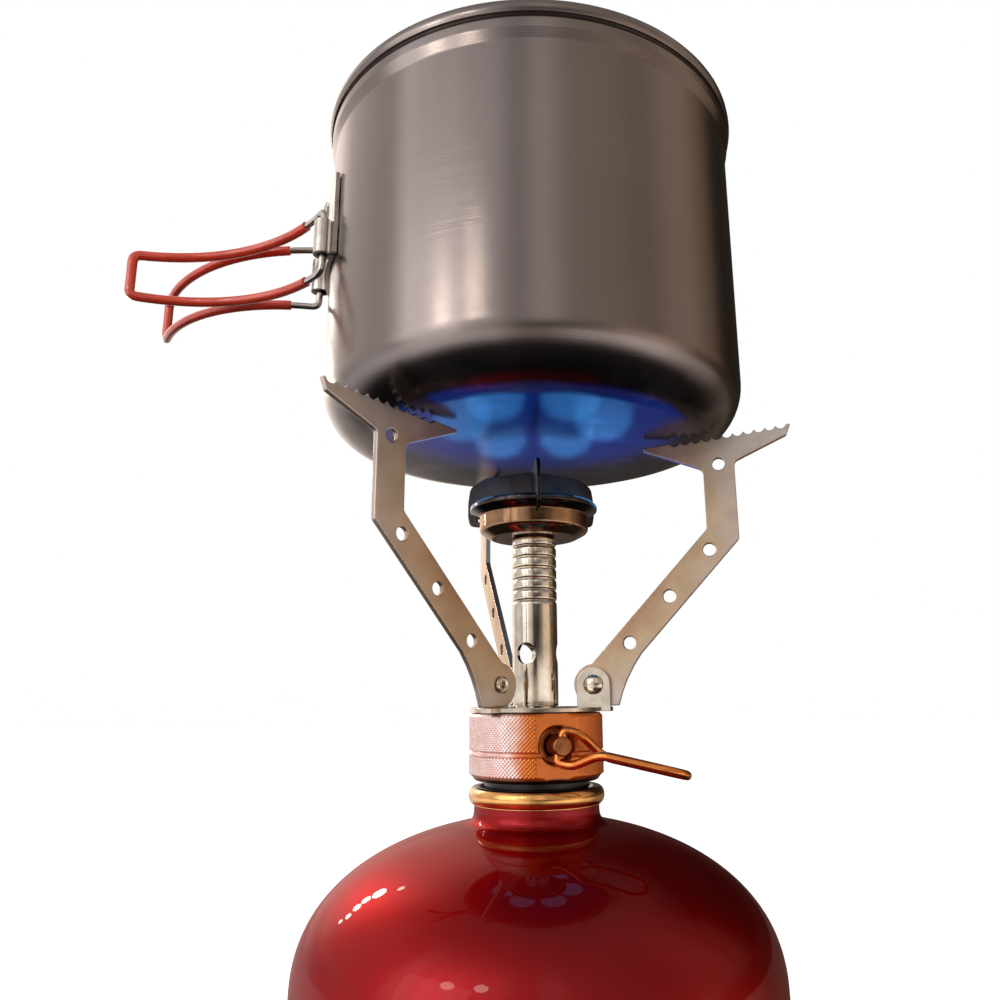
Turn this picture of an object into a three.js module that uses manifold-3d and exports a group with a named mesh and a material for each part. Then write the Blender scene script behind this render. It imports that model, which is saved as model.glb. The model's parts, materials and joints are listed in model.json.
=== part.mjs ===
// A canister-top camping stove: a screw-on burner with three folding pot arms, on its gas cartridge, with
// its cooking pot on the arms. Millimetres, +Z up. Every piece is built round the axis of the burner's stem,
// and at the end the whole assembly is moved so that the middle of its footprint is at X0 Y0 and the
// cartridge stands on Z0.
import * as THREE from "three";
import { mergeVertices } from "three/addons/utils/BufferGeometryUtils.js";
import Module from "manifold-3d";

const wasm = await Module();
wasm.setup();

// ----------------------------------------------------------------------------- driving dimensions

const gap = 0.25; // between faces that seat on each other, and round a pin in its hole

// Gas cartridge
const cartridgeRadius = 55;
const cartridgeWall = 0.8;
const shoulderHeight = 49; // from the floor to the top of the straight wall
const domeRise = 34.3;
const domeSquareness = 0.86; // 1 is an ellipse, less is fuller at the shoulder
const baseRimHeight = 3;
const baseRimWidth = 2.6;
const baseHollow = 8; // how far the middle of the base stands above the floor
const neckRadius = 14.9;
const neckHeight = 6.4;
const cupBeadRadius = 16.2;
const cupBeadHeight = 5;
const cupWall = 1;
const turretRadius = 5.4;
const turretHeight = 9.4;
const plungerRadius = 1.2;

// Valve body and what is inside it
const bodyRadius = 16.25;
const bodyHeight = 15.3;
const bodyStandoff = 1; // clear height between the cartridge's bead and the body
const grooveHeight = 6.3; // centre of the groove between the two knurled bands
const grooveWidth = 1.3;
const grooveDepth = 0.9;
const flatDistance = 15.3; // of the milled flat from the axis
const insertRadius = 7.7;
const insertHeight = 4.6;
const jetRadius = 2.7;

// Valve spindle and its wire handle
const valveAzimuth = -72;
const valveHeight = 8.3; // spindle axis above the underside of the body
const spindleRadius = 2.2;
const spindleThreadRadius = 2.6;
const spindleLength = 19.4; // from the stem axis to the outer end
const crossHoleDistance = 17.4;
const valveRestTurn = -14; // degrees about the spindle
const handleSwing = 62; // degrees from the spindle towards the side
const handleLength = 28.5;
const handleHalfWidth = 4.5;
const handleWireRadius = 1;

// Arm plate and arms
const plateRadius = 16;
const plateThickness = 1;
const tabWidth = 8.2;
const armThickness = 1.5;
const armOffset = 2.16; // of the middle of each arm's sheet from the stem axis
const armAzimuths = { right: -14, left: -134, rear: 106 };
const pivotRadius = 14.4;
const pivotHeight = 5.25; // above the plate
const pivotPinRadius = 1.1;
const rivetHeadRadius = 2.4;
const legAngle = 47.3; // degrees from level
const legLength = 48.4;
const legWidth = 7.5;
const postWidth = 7.7;
const postHeight = 25; // from the bend to the bearing edge, on the post's centre line
const barInner = 18.5; // from the post's centre line to the inner tip
const barOuter = 17.9;
const barSlope = 5.5; // degrees, rising outwards
const heelLength = 5.9;
const toothPitch = 2.6;
const toothDepth = 0.9;
const toothCount = 11;
const armHoleRadius = 1.55;
const armHoleFirst = 13.3; // along the leg from the pivot
const armHolePitch = 15;

// Burner
const stemRadius = 5.6;
const stemBore = 4.2;
const stemLength = 37.3; // between the arm plate and the burner cup
const airHoleRadius = 2.6;
const airHoleHeight = 12.8; // above the arm plate
const airHoleAzimuths = [-114, 6, 126];
const cupRadius = 13.9;
const cupHeight = 9.6; // to the underside of the flange
const flangeRadius = 16.3;
const flangeThickness = 2;
const portCount = 12;
const vaneThickness = 0.9;
const vaneHeight = 9.2; // above the flange
const vaneReach = 19.4;
const vaneAzimuths = [34, 154, 274];

// Pot
const potRadius = 54;
const potHeight = 88.3;
const potWall = 1.2;
const potCorner = 13;
const collarHeight = 8;
const collarStep = 0.4;
const lipRadius = 1.1; // of the rolled edge's section

// Pot handle
const bracketAzimuth = 196;
const bracketHeight = 22;
const bracketAbovePotBase = 43;
const bracketHalfAngle = 13;
const bracketSheet = 1;
const hingeHalfAngle = 10;
const hingeStandoff = 3; // of the hinge axes from the pot's wall
const hingeAboveBracketBase = 4.5; // of the middle of the barrels
const barrelHeight = 9;
const barrelWall = 1;
const wireRadius = 1;
const sleeveWall = 0.4;
const loopLength = 53.6;
const loopBulge = 9.2; // of each loop out of its chord
const loopHeight = 11.5; // at the tip, between the wire's middles
const wireAboveBarrel = 3.3;
const wireBelowBarrel = 4.4;
const wireEndDepth = 3.2; // of each end of the wire inside the barrel
const loopSwing = { front: 168, rear: 157.9 }; // azimuth of each loop's chord
const sleeveInset = 5; // bare wire between the hinge and the sleeve

// Sides of each turned piece, by size. A coarse ring's sides stay clear of the finer ring that it nests with.
const wideSides = 32;
const middleSides = 24;
const smallSides = 14;

// -------------------------------------------------------------------------------- derived heights

const domeHeight = (r) =>
  shoulderHeight +
  domeRise * Math.cos(Math.asin(r / cartridgeRadius)) ** domeSquareness;
const neckBase = domeHeight(neckRadius);
const neckTop = neckBase + neckHeight;
const cupGasket = 0.8;
const cupTop = neckTop + cupGasket + 2 * gap + 0.8;
const cupFloor = cupTop - cupBeadHeight - 0.2;
const turretTop = cupFloor + turretHeight;
const bodyBase = cupTop + bodyStandoff;
const bodyTop = bodyBase + bodyHeight;
const plateTop = bodyTop + gap + plateThickness;
const stemBase = plateTop + gap;
const cupBase = stemBase + stemLength;
const flangeBase = cupBase + cupHeight + 1.2;
const flangeTop = flangeBase + flangeThickness;
const pivotZ = plateTop + pivotHeight;

const radians = THREE.MathUtils.degToRad;
const legDirection = new THREE.Vector2(
  Math.cos(radians(legAngle)),
  Math.sin(radians(legAngle)),
);
const bend = legDirection.clone().multiplyScalar(legLength);

// The pot rests where the arms' sloping edges touch the round corner of its base.
const barLevel = (r) =>
  pivotZ +
  bend.y +
  postHeight +
  (r - pivotRadius - bend.x) * Math.tan(radians(barSlope));
const restRadius =
  potRadius - potCorner + potCorner * Math.sin(radians(barSlope));
const potBase =
  barLevel(restRadius) - potCorner * (1 - Math.cos(radians(barSlope))) + gap;
const potTop = potBase + potHeight;

// -------------------------------------------------------------------------------------- materials

function finish(color, roughness, metalness) {
  return new THREE.MeshStandardMaterial({ color, roughness, metalness });
}

const redPaint = finish(0xa01214, 0.25, 0.2);
const goldTin = finish(0xd8a860, 0.3, 0.9);
const copperAnodised = finish(0xd9682a, 0.35, 0.8);
const brass = finish(0xc79a4a, 0.35, 0.9);
const nickel = finish(0xb9ab93, 0.25, 0.95);
const armSteel = finish(0xb3a69b, 0.4, 0.9);
const bronzeHeat = finish(0x7c5f45, 0.35, 0.9);
const darkSteel = finish(0x3a322c, 0.45, 0.8);
const springSteel = finish(0x9c9c9c, 0.35, 0.95);
const blackRubber = finish(0x151515, 0.7, 0);
const whiteAcetal = finish(0xe8e6df, 0.5, 0);
const potAnodised = finish(0x7b6f68, 0.5, 0.6);
const redSilicone = finish(0xc02a1c, 0.45, 0);

// ---------------------------------------------------------------------------------------- helpers

// A closed geometry as a solid that can be joined and cut.
function solid(geometry) {
  const bare = new THREE.BufferGeometry();
  bare.setAttribute("position", geometry.getAttribute("position"));
  if (geometry.index) bare.setIndex(geometry.index);
  const merged = mergeVertices(bare, 1e-4);
  return new wasm.Manifold(
    new wasm.Mesh({
      numProp: 3,
      vertProperties: merged.attributes.position.array,
      triVerts: new Uint32Array(merged.index.array),
    }),
  );
}

function geometryOf(made) {
  const mesh = made.getMesh();
  return new THREE.BufferGeometry()
    .setAttribute(
      "position",
      new THREE.BufferAttribute(new Float32Array(mesh.vertProperties), 3),
    )
    .setIndex(new THREE.BufferAttribute(new Uint32Array(mesh.triVerts), 1));
}

// A profile of [radius, height] points turned round Z. It starts and ends on the axis, or it is closed here.
function turned(profile, segments = middleSides) {
  const points = profile.map(([r, z]) => new THREE.Vector2(r, z));
  const onAxis = points[0].x === 0 && points.at(-1).x === 0;
  if (THREE.ShapeUtils.area(points) < 0) points.reverse();
  if (!onAxis) points.push(points[0].clone());
  return new THREE.LatheGeometry(points, segments).rotateX(Math.PI / 2);
}

// A cylinder along Z from z0 to z1.
function rod(radius, z0, z1, segments = smallSides) {
  return new THREE.CylinderGeometry(radius, radius, z1 - z0, segments)
    .rotateX(Math.PI / 2)
    .translate(0, 0, (z0 + z1) / 2);
}

// The same cylinder lying along a level direction.
function levelRod(radius, from, to, azimuth, z, segments = smallSides) {
  return rod(radius, from, to, segments)
    .rotateY(Math.PI / 2)
    .rotateZ(radians(azimuth))
    .translate(0, 0, z);
}

// A flat outline given a thickness, centred on its own plane.
function sheet(shape, thickness, curveSegments = 8) {
  return new THREE.ExtrudeGeometry(shape, {
    depth: thickness,
    bevelEnabled: false,
    curveSegments,
  }).translate(0, 0, -thickness / 2);
}

function circlePath(radius, x = 0, y = 0) {
  return new THREE.Path().absarc(x, y, radius, 0, 2 * Math.PI, true);
}

// Straight runs between points, with each corner rounded off.
function roundedPath(points, radius) {
  const path = new THREE.CurvePath();
  let from = points[0];
  for (let i = 1; i < points.length - 1; i++) {
    const corner = points[i];
    const reach = Math.min(
      radius,
      0.45 * corner.distanceTo(points[i - 1]),
      0.45 * corner.distanceTo(points[i + 1]),
    );
    const before = corner
      .clone()
      .add(points[i - 1].clone().sub(corner).setLength(reach));
    const after = corner
      .clone()
      .add(points[i + 1].clone().sub(corner).setLength(reach));
    path.add(new THREE.LineCurve3(from, before));
    path.add(new THREE.QuadraticBezierCurve3(before, corner, after));
    from = after;
  }
  path.add(new THREE.LineCurve3(from, points.at(-1)));
  return path;
}

// A round wire, or a tube when it has a bore, along a path.
function wire(path, radius, steps, bore = 0) {
  const section = new THREE.Shape().absarc(0, 0, radius, 0, 2 * Math.PI);
  if (bore) section.holes.push(circlePath(bore));
  return new THREE.ExtrudeGeometry(section, {
    steps,
    curveSegments: 3, // a round section of twice as many sides
    extrudePath: path,
  });
}

function piece(name, geometry, material, parent) {
  const mesh = new THREE.Mesh(geometry, material);
  mesh.name = name;
  parent.add(mesh);
  return mesh;
}

// A named pivot: its position is the joint's, and its own Z axis is the joint's axis.
function pivot(name, parent, x, y, z) {
  const group = new THREE.Group();
  group.name = name;
  group.position.set(x, y, z);
  parent.add(group);
  return group;
}

// -------------------------------------------------------------------------------------- cartridge

function cartridgeShell() {
  const steps = 6;
  const dome = (radius, inset) => {
    const from = Math.asin((neckRadius - inset) / radius);
    return Array.from({ length: steps + 1 }, (_, i) => {
      const angle = from + ((Math.PI / 2 - from) * i) / steps;
      return [
        radius * Math.sin(angle),
        shoulderHeight +
          (domeRise - inset) * Math.cos(angle) ** domeSquareness,
      ];
    });
  };
  const outer = dome(cartridgeRadius, 0);
  const inner = dome(cartridgeRadius - cartridgeWall, cartridgeWall).reverse();
  const foot = baseRimHeight + gap;
  return turned(
    [
      [neckRadius, neckTop],
      ...outer,
      [cartridgeRadius, foot],
      [cartridgeRadius - cartridgeWall, foot],
      ...inner,
      [neckRadius - cartridgeWall, neckTop],
    ],
    wideSides,
  );
}

function cartridgeBase() {
  const inner = cartridgeRadius - baseRimWidth;
  const spigot = cartridgeRadius - cartridgeWall - gap;
  const crown = (lift) =>
    [1, 0.65, 0.3].map((share) => [
      (inner - 4) * share,
      baseHollow * (1 - share ** 2) + baseRimHeight + lift,
    ]);
  return turned(
    [
      ...[...crown(0), [0, baseHollow + baseRimHeight]].reverse(),
      [inner, 0],
      [cartridgeRadius, 0],
      [cartridgeRadius, baseRimHeight],
      [spigot, baseRimHeight],
      [spigot, 2 * baseRimHeight],
      [spigot - 1, 2 * baseRimHeight],
      [inner - 3, baseRimHeight + 1],
      ...crown(1),
      [0, baseHollow + baseRimHeight + 1],
    ],
    wideSides,
  );
}

function valveCup() {
  const channelIn = neckRadius - cartridgeWall - gap;
  const channelOut = neckRadius + 0.4;
  const channelTop = cupTop - 0.8;
  const beadBase = cupTop - cupBeadHeight;
  return turned(
    [
      [channelOut, beadBase],
      [cupBeadRadius - 0.4, beadBase],
      [cupBeadRadius, beadBase + 1],
      [cupBeadRadius, cupTop - 1.2],
      [cupBeadRadius - 1, cupTop],
      [channelIn - 0.4, cupTop],
      [channelIn - 1.2, cupTop - 1],
      [channelIn - 1.2, cupFloor + cupWall],
      [turretRadius, cupFloor + cupWall],
      [turretRadius, turretTop],
      [plungerRadius + gap, turretTop],
      [plungerRadius + gap, turretTop - cupWall],
      [turretRadius - cupWall, turretTop - cupWall],
      [turretRadius - cupWall, cupFloor],
      [channelIn, cupFloor],
      [channelIn, channelTop],
      [channelOut, channelTop],
    ],
    middleSides,
  );
}

function cupGasketRing() {
  const seat = neckTop + gap;
  return turned(
    [
      [neckRadius - cartridgeWall, seat],
      [neckRadius, seat],
      [neckRadius, seat + cupGasket],
      [neckRadius - cartridgeWall, seat + cupGasket],
    ],
    middleSides,
  );
}

const housingRadius = turretRadius - cupWall - gap;
const plungerSealBase = turretTop - cupWall - gap - 1;
const housingTop = plungerSealBase - gap;
const housingBase = housingTop - 15;

function plungerSeal() {
  return turned(
    [
      [plungerRadius + gap, plungerSealBase],
      [housingRadius, plungerSealBase],
      [housingRadius, plungerSealBase + 1],
      [plungerRadius + gap, plungerSealBase + 1],
    ],
    smallSides,
  );
}

function valveHousing() {
  const inletRadius = 0.8;
  const floor = housingBase + 1.4;
  return turned(
    [
      [inletRadius, housingBase],
      [housingRadius, housingBase],
      [housingRadius, housingTop],
      [housingRadius - 0.9, housingTop],
      [housingRadius - 0.9, floor],
      [inletRadius, floor],
    ],
    smallSides,
  );
}

const plungerHeadRadius = housingRadius - 0.9 - 2 * gap;
const plungerHeadTop = housingTop - 0.8; // held off its seal by the stove's pin

function valvePlunger() {
  return turned(
    [
      [0, plungerHeadTop - 2],
      [plungerHeadRadius, plungerHeadTop - 2],
      [plungerHeadRadius, plungerHeadTop],
      [plungerRadius, plungerHeadTop],
      [plungerRadius, turretTop - 0.6],
      [0, turretTop - 0.6],
    ],
    smallSides,
  );
}

class Helix extends THREE.Curve {
  constructor(radius, z0, z1, turns) {
    super();
    Object.assign(this, { radius, z0, z1, turns });
  }
  getPoint(t, target = new THREE.Vector3()) {
    const angle = 2 * Math.PI * this.turns * t;
    return target.set(
      this.radius * Math.cos(angle),
      this.radius * Math.sin(angle),
      THREE.MathUtils.lerp(this.z0, this.z1, t),
    );
  }
}

function plungerSpring() {
  const springWire = 0.3;
  const turns = 5;
  const path = new Helix(
    plungerHeadRadius - springWire - 0.1,
    housingBase + 1.4 + springWire + gap,
    plungerHeadTop - 2 - springWire - gap,
    turns,
  );
  return wire(path, springWire, turns * 8);
}

function buildCartridge(parent) {
  piece("cartridge_shell", cartridgeShell(), redPaint, parent);
  piece("cartridge_base", cartridgeBase(), springSteel, parent);
  piece("cartridge_valve_cup", valveCup(), goldTin, parent);
  piece("valve_cup_gasket", cupGasketRing(), blackRubber, parent);
  piece("cartridge_valve_housing", valveHousing(), whiteAcetal, parent);
  piece("plunger_seal", plungerSeal(), blackRubber, parent);
  piece("cartridge_plunger", valvePlunger(), brass, parent);
  piece("plunger_spring", plungerSpring(), springSteel, parent);
}

// ------------------------------------------------------------------------------------- valve body

const insertTop = bodyBase + 0.3 + insertHeight;
const insertLip = 0.8;
const pinPocketTop = insertTop + gap + 1.2;
const pinPocketRadius = turretRadius;
const spindleZ = bodyBase + valveHeight;
const jetSeat = spindleZ + 1.4;
const spigotSeat = jetSeat + 1.8;
const spigotRadius = 4.9;
const glandSeat = 9;
const glandBoreRadius = 4.2;
const passageRadius = 0.9;
const chamberStart = 3.4;
const chamberRadius = spindleThreadRadius + gap;

function valveBody() {
  const chamfer = 0.7;
  const groove = bodyBase + grooveHeight;
  const half = grooveWidth / 2;
  const bore = insertRadius + gap;
  const block = solid(
    turned(
      [
        [0, pinPocketTop],
        [pinPocketRadius, pinPocketTop],
        [pinPocketRadius, insertTop + gap],
        [bore, insertTop + gap],
        [bore, bodyBase],
        [bodyRadius - chamfer, bodyBase],
        [bodyRadius, bodyBase + chamfer],
        [bodyRadius, groove - half],
        [bodyRadius - grooveDepth, groove - half + 0.3],
        [bodyRadius - grooveDepth, groove + half - 0.3],
        [bodyRadius, groove + half],
        [bodyRadius, bodyTop - chamfer],
        [bodyRadius - chamfer, bodyTop],
        [spigotRadius + gap, bodyTop],
        [spigotRadius + gap, spigotSeat],
        [jetRadius + gap, spigotSeat],
        [jetRadius + gap, jetSeat],
        [0, jetSeat],
      ],
      wideSides,
    ),
  );
  const depth = bodyRadius;
  const flat = new THREE.BoxGeometry(depth, 2 * bodyRadius, 2 * bodyHeight)
    .translate(flatDistance + depth / 2, 0, spindleZ)
    .rotateZ(radians(valveAzimuth));
  const [x, y] = [
    Math.cos(radians(valveAzimuth)) * (chamberStart + 1.2),
    Math.sin(radians(valveAzimuth)) * (chamberStart + 1.2),
  ];
  const cuts = [
    flat,
    levelRod(glandBoreRadius, glandSeat, 2 * bodyRadius, valveAzimuth, spindleZ),
    levelRod(chamberRadius, chamberStart, glandSeat + 0.5, valveAzimuth, spindleZ),
    levelRod(passageRadius, -0.6, chamberStart + 0.5, valveAzimuth, spindleZ, 8),
    rod(passageRadius, spindleZ, jetSeat + 0.5, 8),
    rod(passageRadius, pinPocketTop - 0.5, spindleZ, 8).translate(x, y, 0),
  ];
  return geometryOf(cuts.reduce((body, cut) => body.subtract(solid(cut)), block));
}

function threadInsert() {
  const bore = turretRadius + 0.35;
  return turned(
    [
      [bore, bodyBase + 0.3],
      [insertRadius, bodyBase + 0.3],
      [insertRadius, insertTop],
      [bore - 1.7, insertTop],
      [bore - 1.7, insertTop - insertLip],
      [bore, insertTop - insertLip],
    ],
    middleSides,
  );
}

// A rubber ring of round section.
function sealRing(ringRadius, sectionRadius) {
  return new THREE.TorusGeometry(ringRadius, sectionRadius, 6, smallSides);
}

function openingPin() {
  const flange = insertTop + gap;
  return turned(
    [
      [0, turretTop - 0.3],
      [0.9, turretTop - 0.3],
      [0.9, flange],
      [pinPocketRadius - gap, flange],
      [pinPocketRadius - gap, flange + 0.7],
      [0, flange + 0.7],
    ],
    smallSides,
  );
}

function jet() {
  const bore = 0.6;
  const shoulder = spigotSeat + 0.3;
  return turned(
    [
      [bore, jetSeat + gap],
      [jetRadius, jetSeat + gap],
      [jetRadius, shoulder + 1.6],
      [jetRadius - 0.9, shoulder + 2.6],
      [bore, shoulder + 2.6],
    ],
    smallSides,
  );
}

function glandNut() {
  const start = glandSeat + 1.9;
  return turned(
    [
      [spindleRadius + gap, start],
      [glandBoreRadius - gap, start],
      [glandBoreRadius - gap, start + 2.6],
      [spindleRadius + gap, start + 2.6],
    ],
    smallSides,
  );
}

function buildValveBody(parent) {
  piece("valve_body", valveBody(), copperAnodised, parent);
  piece("thread_insert", threadInsert(), brass, parent);
  const sealZ = (turretTop + insertTop - insertLip) / 2;
  piece("cartridge_seal_ring", sealRing(4.5, 0.35), blackRubber, parent).position.z = sealZ;
  piece("opening_pin", openingPin(), brass, parent);
  piece("jet", jet(), brass, parent);
  // The gland nut is turned round Z and laid along the spindle.
  const gland = pivot("gland_axis", parent, 0, 0, spindleZ);
  gland.rotation.set(0, Math.PI / 2, radians(valveAzimuth), "ZYX");
  piece("gland_nut", glandNut(), brass, gland);
}

// ----------------------------------------------------------------------------- spindle and handle

function spindle() {
  const body = solid(
    turned(
      [
        [0, 1.4],
        [0.3, 1.4],
        [0.65, chamberStart],
        [1.3, chamberStart + 0.5],
        [1.3, chamberStart + 2.4],
        [spindleThreadRadius, chamberStart + 2.4],
        [spindleThreadRadius, glandSeat - 0.4],
        [spindleRadius, glandSeat - 0.4],
        [spindleRadius, spindleLength - 0.4],
        [spindleRadius - 0.4, spindleLength],
        [0, spindleLength],
      ],
      smallSides,
    ),
  );
  const hole = levelRod(
    handleWireRadius + gap,
    -2 * spindleRadius,
    2 * spindleRadius,
    0,
    crossHoleDistance,
    smallSides,
  );
  return geometryOf(body.subtract(solid(hole)));
}

// A wire loop whose two ends stand in the spindle's cross hole, and which twists a quarter turn so that the
// part held between the fingers lies flat. X is along the handle, Z along the cross hole.
function valveHandle() {
  const ear = spindleRadius + handleWireRadius + 0.4;
  const half = [
    [0, 0, 0.8],
    [0, 0, ear],
    [3.6, 0.4, ear],
    [9.5, handleHalfWidth, 0],
    [handleLength - handleHalfWidth, handleHalfWidth, 0],
    [handleLength - 0.3 * handleHalfWidth, 0.7 * handleHalfWidth, 0],
  ];
  const otherHalf = half.map(([x, y, z]) => [x, -y, -z]).reverse();
  const points = [...half, [handleLength, 0, 0], ...otherHalf].map(
    (p) => new THREE.Vector3(...p),
  );
  return wire(roundedPath(points, 2), handleWireRadius, 42);
}

function buildValve(parent) {
  const turn = pivot("valve_turn", parent, 0, 0, spindleZ);
  turn.rotation.set(0, Math.PI / 2, radians(valveAzimuth), "ZYX");
  const rest = new THREE.Group();
  rest.rotation.z = radians(valveRestTurn);
  turn.add(rest);
  piece("valve_spindle", spindle(), brass, rest);
  piece("spindle_seal_ring", sealRing(3.2, 0.6), blackRubber, rest).position.z = glandSeat + 1;
  const fold = pivot("handle_fold", rest, 0, 0, crossHoleDistance);
  // The spindle's Z runs outwards. The handle starts along it and swings to the side about the cross hole.
  fold.rotation.set(0, -Math.PI / 2, 0);
  const swing = new THREE.Group();
  swing.rotation.z = radians(handleSwing);
  fold.add(swing);
  piece("valve_handle", valveHandle(), copperAnodised, swing);
}

// --------------------------------------------------------------------------------- plate and arms

const tabNear = armThickness / 2 + gap; // from the middle of the arm's sheet to the near face of its tab

function armPlate() {
  const disc = new THREE.Shape().absarc(0, 0, plateRadius, 0, 2 * Math.PI);
  disc.holes.push(circlePath(spigotRadius + gap));
  let plate = solid(
    sheet(disc, plateThickness, 20).translate(0, 0, plateTop - plateThickness / 2),
  );
  const tabShape = new THREE.Shape();
  tabShape.moveTo(-tabWidth / 2, -pivotHeight - plateThickness / 2);
  tabShape.lineTo(tabWidth / 2, -pivotHeight - plateThickness / 2);
  tabShape.absarc(0, 0, tabWidth / 2, 0, Math.PI);
  tabShape.holes.push(circlePath(pivotPinRadius + gap));
  const earWidth = tabNear + plateThickness + armThickness;
  for (const azimuth of Object.values(armAzimuths)) {
    const tab = sheet(tabShape, plateThickness)
      .rotateX(Math.PI / 2)
      .translate(pivotRadius, armOffset - tabNear - plateThickness / 2, pivotZ)
      .rotateZ(radians(azimuth));
    const ear = new THREE.BoxGeometry(tabWidth, earWidth, plateThickness)
      .translate(
        pivotRadius,
        armOffset - tabNear - plateThickness + earWidth / 2,
        plateTop - plateThickness / 2,
      )
      .rotateZ(radians(azimuth));
    plate = plate.add(solid(ear)).add(solid(tab));
  }
  return geometryOf(plate);
}

// An arm in its own plane, with its pivot at the origin, X outwards and Y up.
function armOutline() {
  const along = (distance, side) => [
    legDirection.x * distance - legDirection.y * side,
    legDirection.y * distance + legDirection.x * side,
  ];
  const footRadius = pivotHeight - gap;
  const halfLeg = legWidth / 2;
  const halfPost = postWidth / 2;
  const lean = Math.tan(radians(legAngle));
  const legEdge = (x, side) => x * lean + side / legDirection.x;
  const inner = bend.x - halfPost;
  const outer = bend.x + halfPost;
  const slope = Math.tan(radians(barSlope));
  const edge = (offset) => [bend.x + offset, bend.y + postHeight + offset * slope];

  const shape = new THREE.Shape();
  shape.moveTo(0, -footRadius);
  shape.lineTo(heelLength, -footRadius);
  shape.quadraticCurveTo(heelLength + 1.6, 1.4, ...along(armHoleFirst, -halfLeg));
  shape.lineTo(outer, legEdge(outer, -halfLeg));
  shape.lineTo(outer, bend.y + postHeight - 7);
  shape.lineTo(edge(barOuter)[0] - 1.2, edge(barOuter)[1] - 2.9);
  shape.lineTo(...edge(barOuter));
  for (let i = 0; i < toothCount; i++) {
    const crest = barOuter - 1 - i * toothPitch;
    const [x, y] = edge(crest - 0.6 * toothPitch);
    shape.lineTo(x, y - toothDepth);
    shape.lineTo(...edge(crest - toothPitch));
  }
  shape.lineTo(...edge(-barInner));
  shape.lineTo(edge(-barInner)[0], edge(-barInner)[1] - 0.5);
  shape.lineTo(inner, bend.y + postHeight - 8.6);
  shape.lineTo(inner, legEdge(inner, halfLeg));
  const meet = Math.sqrt(footRadius ** 2 - halfLeg ** 2);
  shape.lineTo(...along(meet, halfLeg));
  const start = radians(legAngle) + Math.acos(meet / footRadius);
  shape.absarc(0, 0, footRadius, start, 1.5 * Math.PI);

  shape.holes.push(circlePath(pivotPinRadius + gap));
  for (let i = 0; i < 3; i++)
    shape.holes.push(circlePath(armHoleRadius, ...along(armHoleFirst + i * armHolePitch, 0)));
  shape.holes.push(circlePath(armHoleRadius, bend.x, bend.y + postHeight - 7.3));
  return shape;
}

// A dome-headed tubular rivet along Z: the dome is outside the tab, the rolled end outside the arm.
function armRivet() {
  const tabFace = tabNear + plateThickness + gap;
  const tail = -armThickness / 2 - gap;
  const tailRadius = 0.8 * rivetHeadRadius;
  return turned(
    [
      [0, tail - 0.3],
      [0.6, tail - 0.7],
      [tailRadius, tail - 0.5],
      [tailRadius, tail],
      [pivotPinRadius, tail],
      [pivotPinRadius, tabFace],
      [rivetHeadRadius, tabFace],
      [0.85 * rivetHeadRadius, tabFace + 0.8],
      [0.5 * rivetHeadRadius, tabFace + 1.3],
      [0, tabFace + 1.5],
    ],
    smallSides,
  );
}

function buildArms(parent) {
  piece("arm_plate", armPlate(), nickel, parent);
  const outline = armOutline();
  for (const [side, azimuth] of Object.entries(armAzimuths)) {
    const spoke = new THREE.Group();
    spoke.rotation.z = radians(azimuth);
    parent.add(spoke);
    const fold = pivot(`arm_${side}_fold`, spoke, pivotRadius, armOffset, pivotZ);
    fold.rotation.x = Math.PI / 2;
    piece(`arm_${side}`, sheet(outline, armThickness, 5), armSteel, fold);
    piece(`arm_${side}_rivet`, armRivet(), nickel, fold);
  }
}

// ----------------------------------------------------------------------------------------- burner

const headFloor = cupBase + 1.2;
const screenZ = headFloor + 4.6;

function stem() {
  const top = headFloor + 1.6;
  const tube = solid(
    turned(
      [
        [stemBore, spigotSeat + gap],
        [spigotRadius, spigotSeat + gap],
        [spigotRadius, stemBase],
        [stemRadius, stemBase],
        [stemRadius, cupBase - gap],
        [spigotRadius, cupBase - gap],
        [spigotRadius, top],
        [stemBore, top],
      ],
      middleSides,
    ),
  );
  const holes = airHoleAzimuths.map((azimuth) =>
    levelRod(airHoleRadius, 1, 2 * stemRadius, azimuth, plateTop + airHoleHeight, 12),
  );
  return geometryOf(holes.reduce((body, hole) => body.subtract(solid(hole)), tube));
}

function burnerCup() {
  const wall = 1;
  const chamfer = 2;
  return turned(
    [
      [spigotRadius + gap, cupBase],
      [cupRadius - chamfer, cupBase],
      [cupRadius, cupBase + 1.4],
      [cupRadius, flangeBase - 1.2],
      [flangeRadius - 0.3, flangeBase],
      [flangeRadius, flangeBase + 0.4],
      [flangeRadius, flangeTop - 0.5],
      [flangeRadius - 0.6, flangeTop],
      [cupRadius - wall, flangeTop - 0.8],
      [cupRadius - wall, headFloor],
      [spigotRadius + gap, headFloor],
    ],
    middleSides,
  );
}

function burnerScreen() {
  return turned(
    [
      [0, screenZ],
      [cupRadius - 1 - gap, screenZ],
      [cupRadius - 1 - gap, screenZ + 0.4],
      [0, screenZ + 0.4],
    ],
    middleSides,
  );
}

// The flame cap: a cup turned upside down, with slots round its skirt that the gas comes out of.
function burnerCap() {
  const skirtRadius = cupRadius - 1 - gap;
  const base = screenZ + 0.4 + gap;
  const top = flangeTop - 0.2;
  const cap = solid(
    turned(
      [
        [0, base + 2.4],
        [skirtRadius - 2.2, base + 2.4],
        [skirtRadius - 1.4, base],
        [skirtRadius, base],
        [skirtRadius, top - 1.4],
        [skirtRadius - 2.4, top],
        [3, top - 0.8],
        [0, top - 0.8],
      ],
      middleSides,
    ),
  );
  let made = cap;
  for (let i = 0; i < portCount; i++) {
    const slot = new THREE.BoxGeometry(4, 1.1, 4)
      .translate(skirtRadius, 0, top)
      .rotateZ((2 * Math.PI * (i + 0.5)) / portCount);
    made = made.subtract(solid(slot));
  }
  return geometryOf(made);
}

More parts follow.
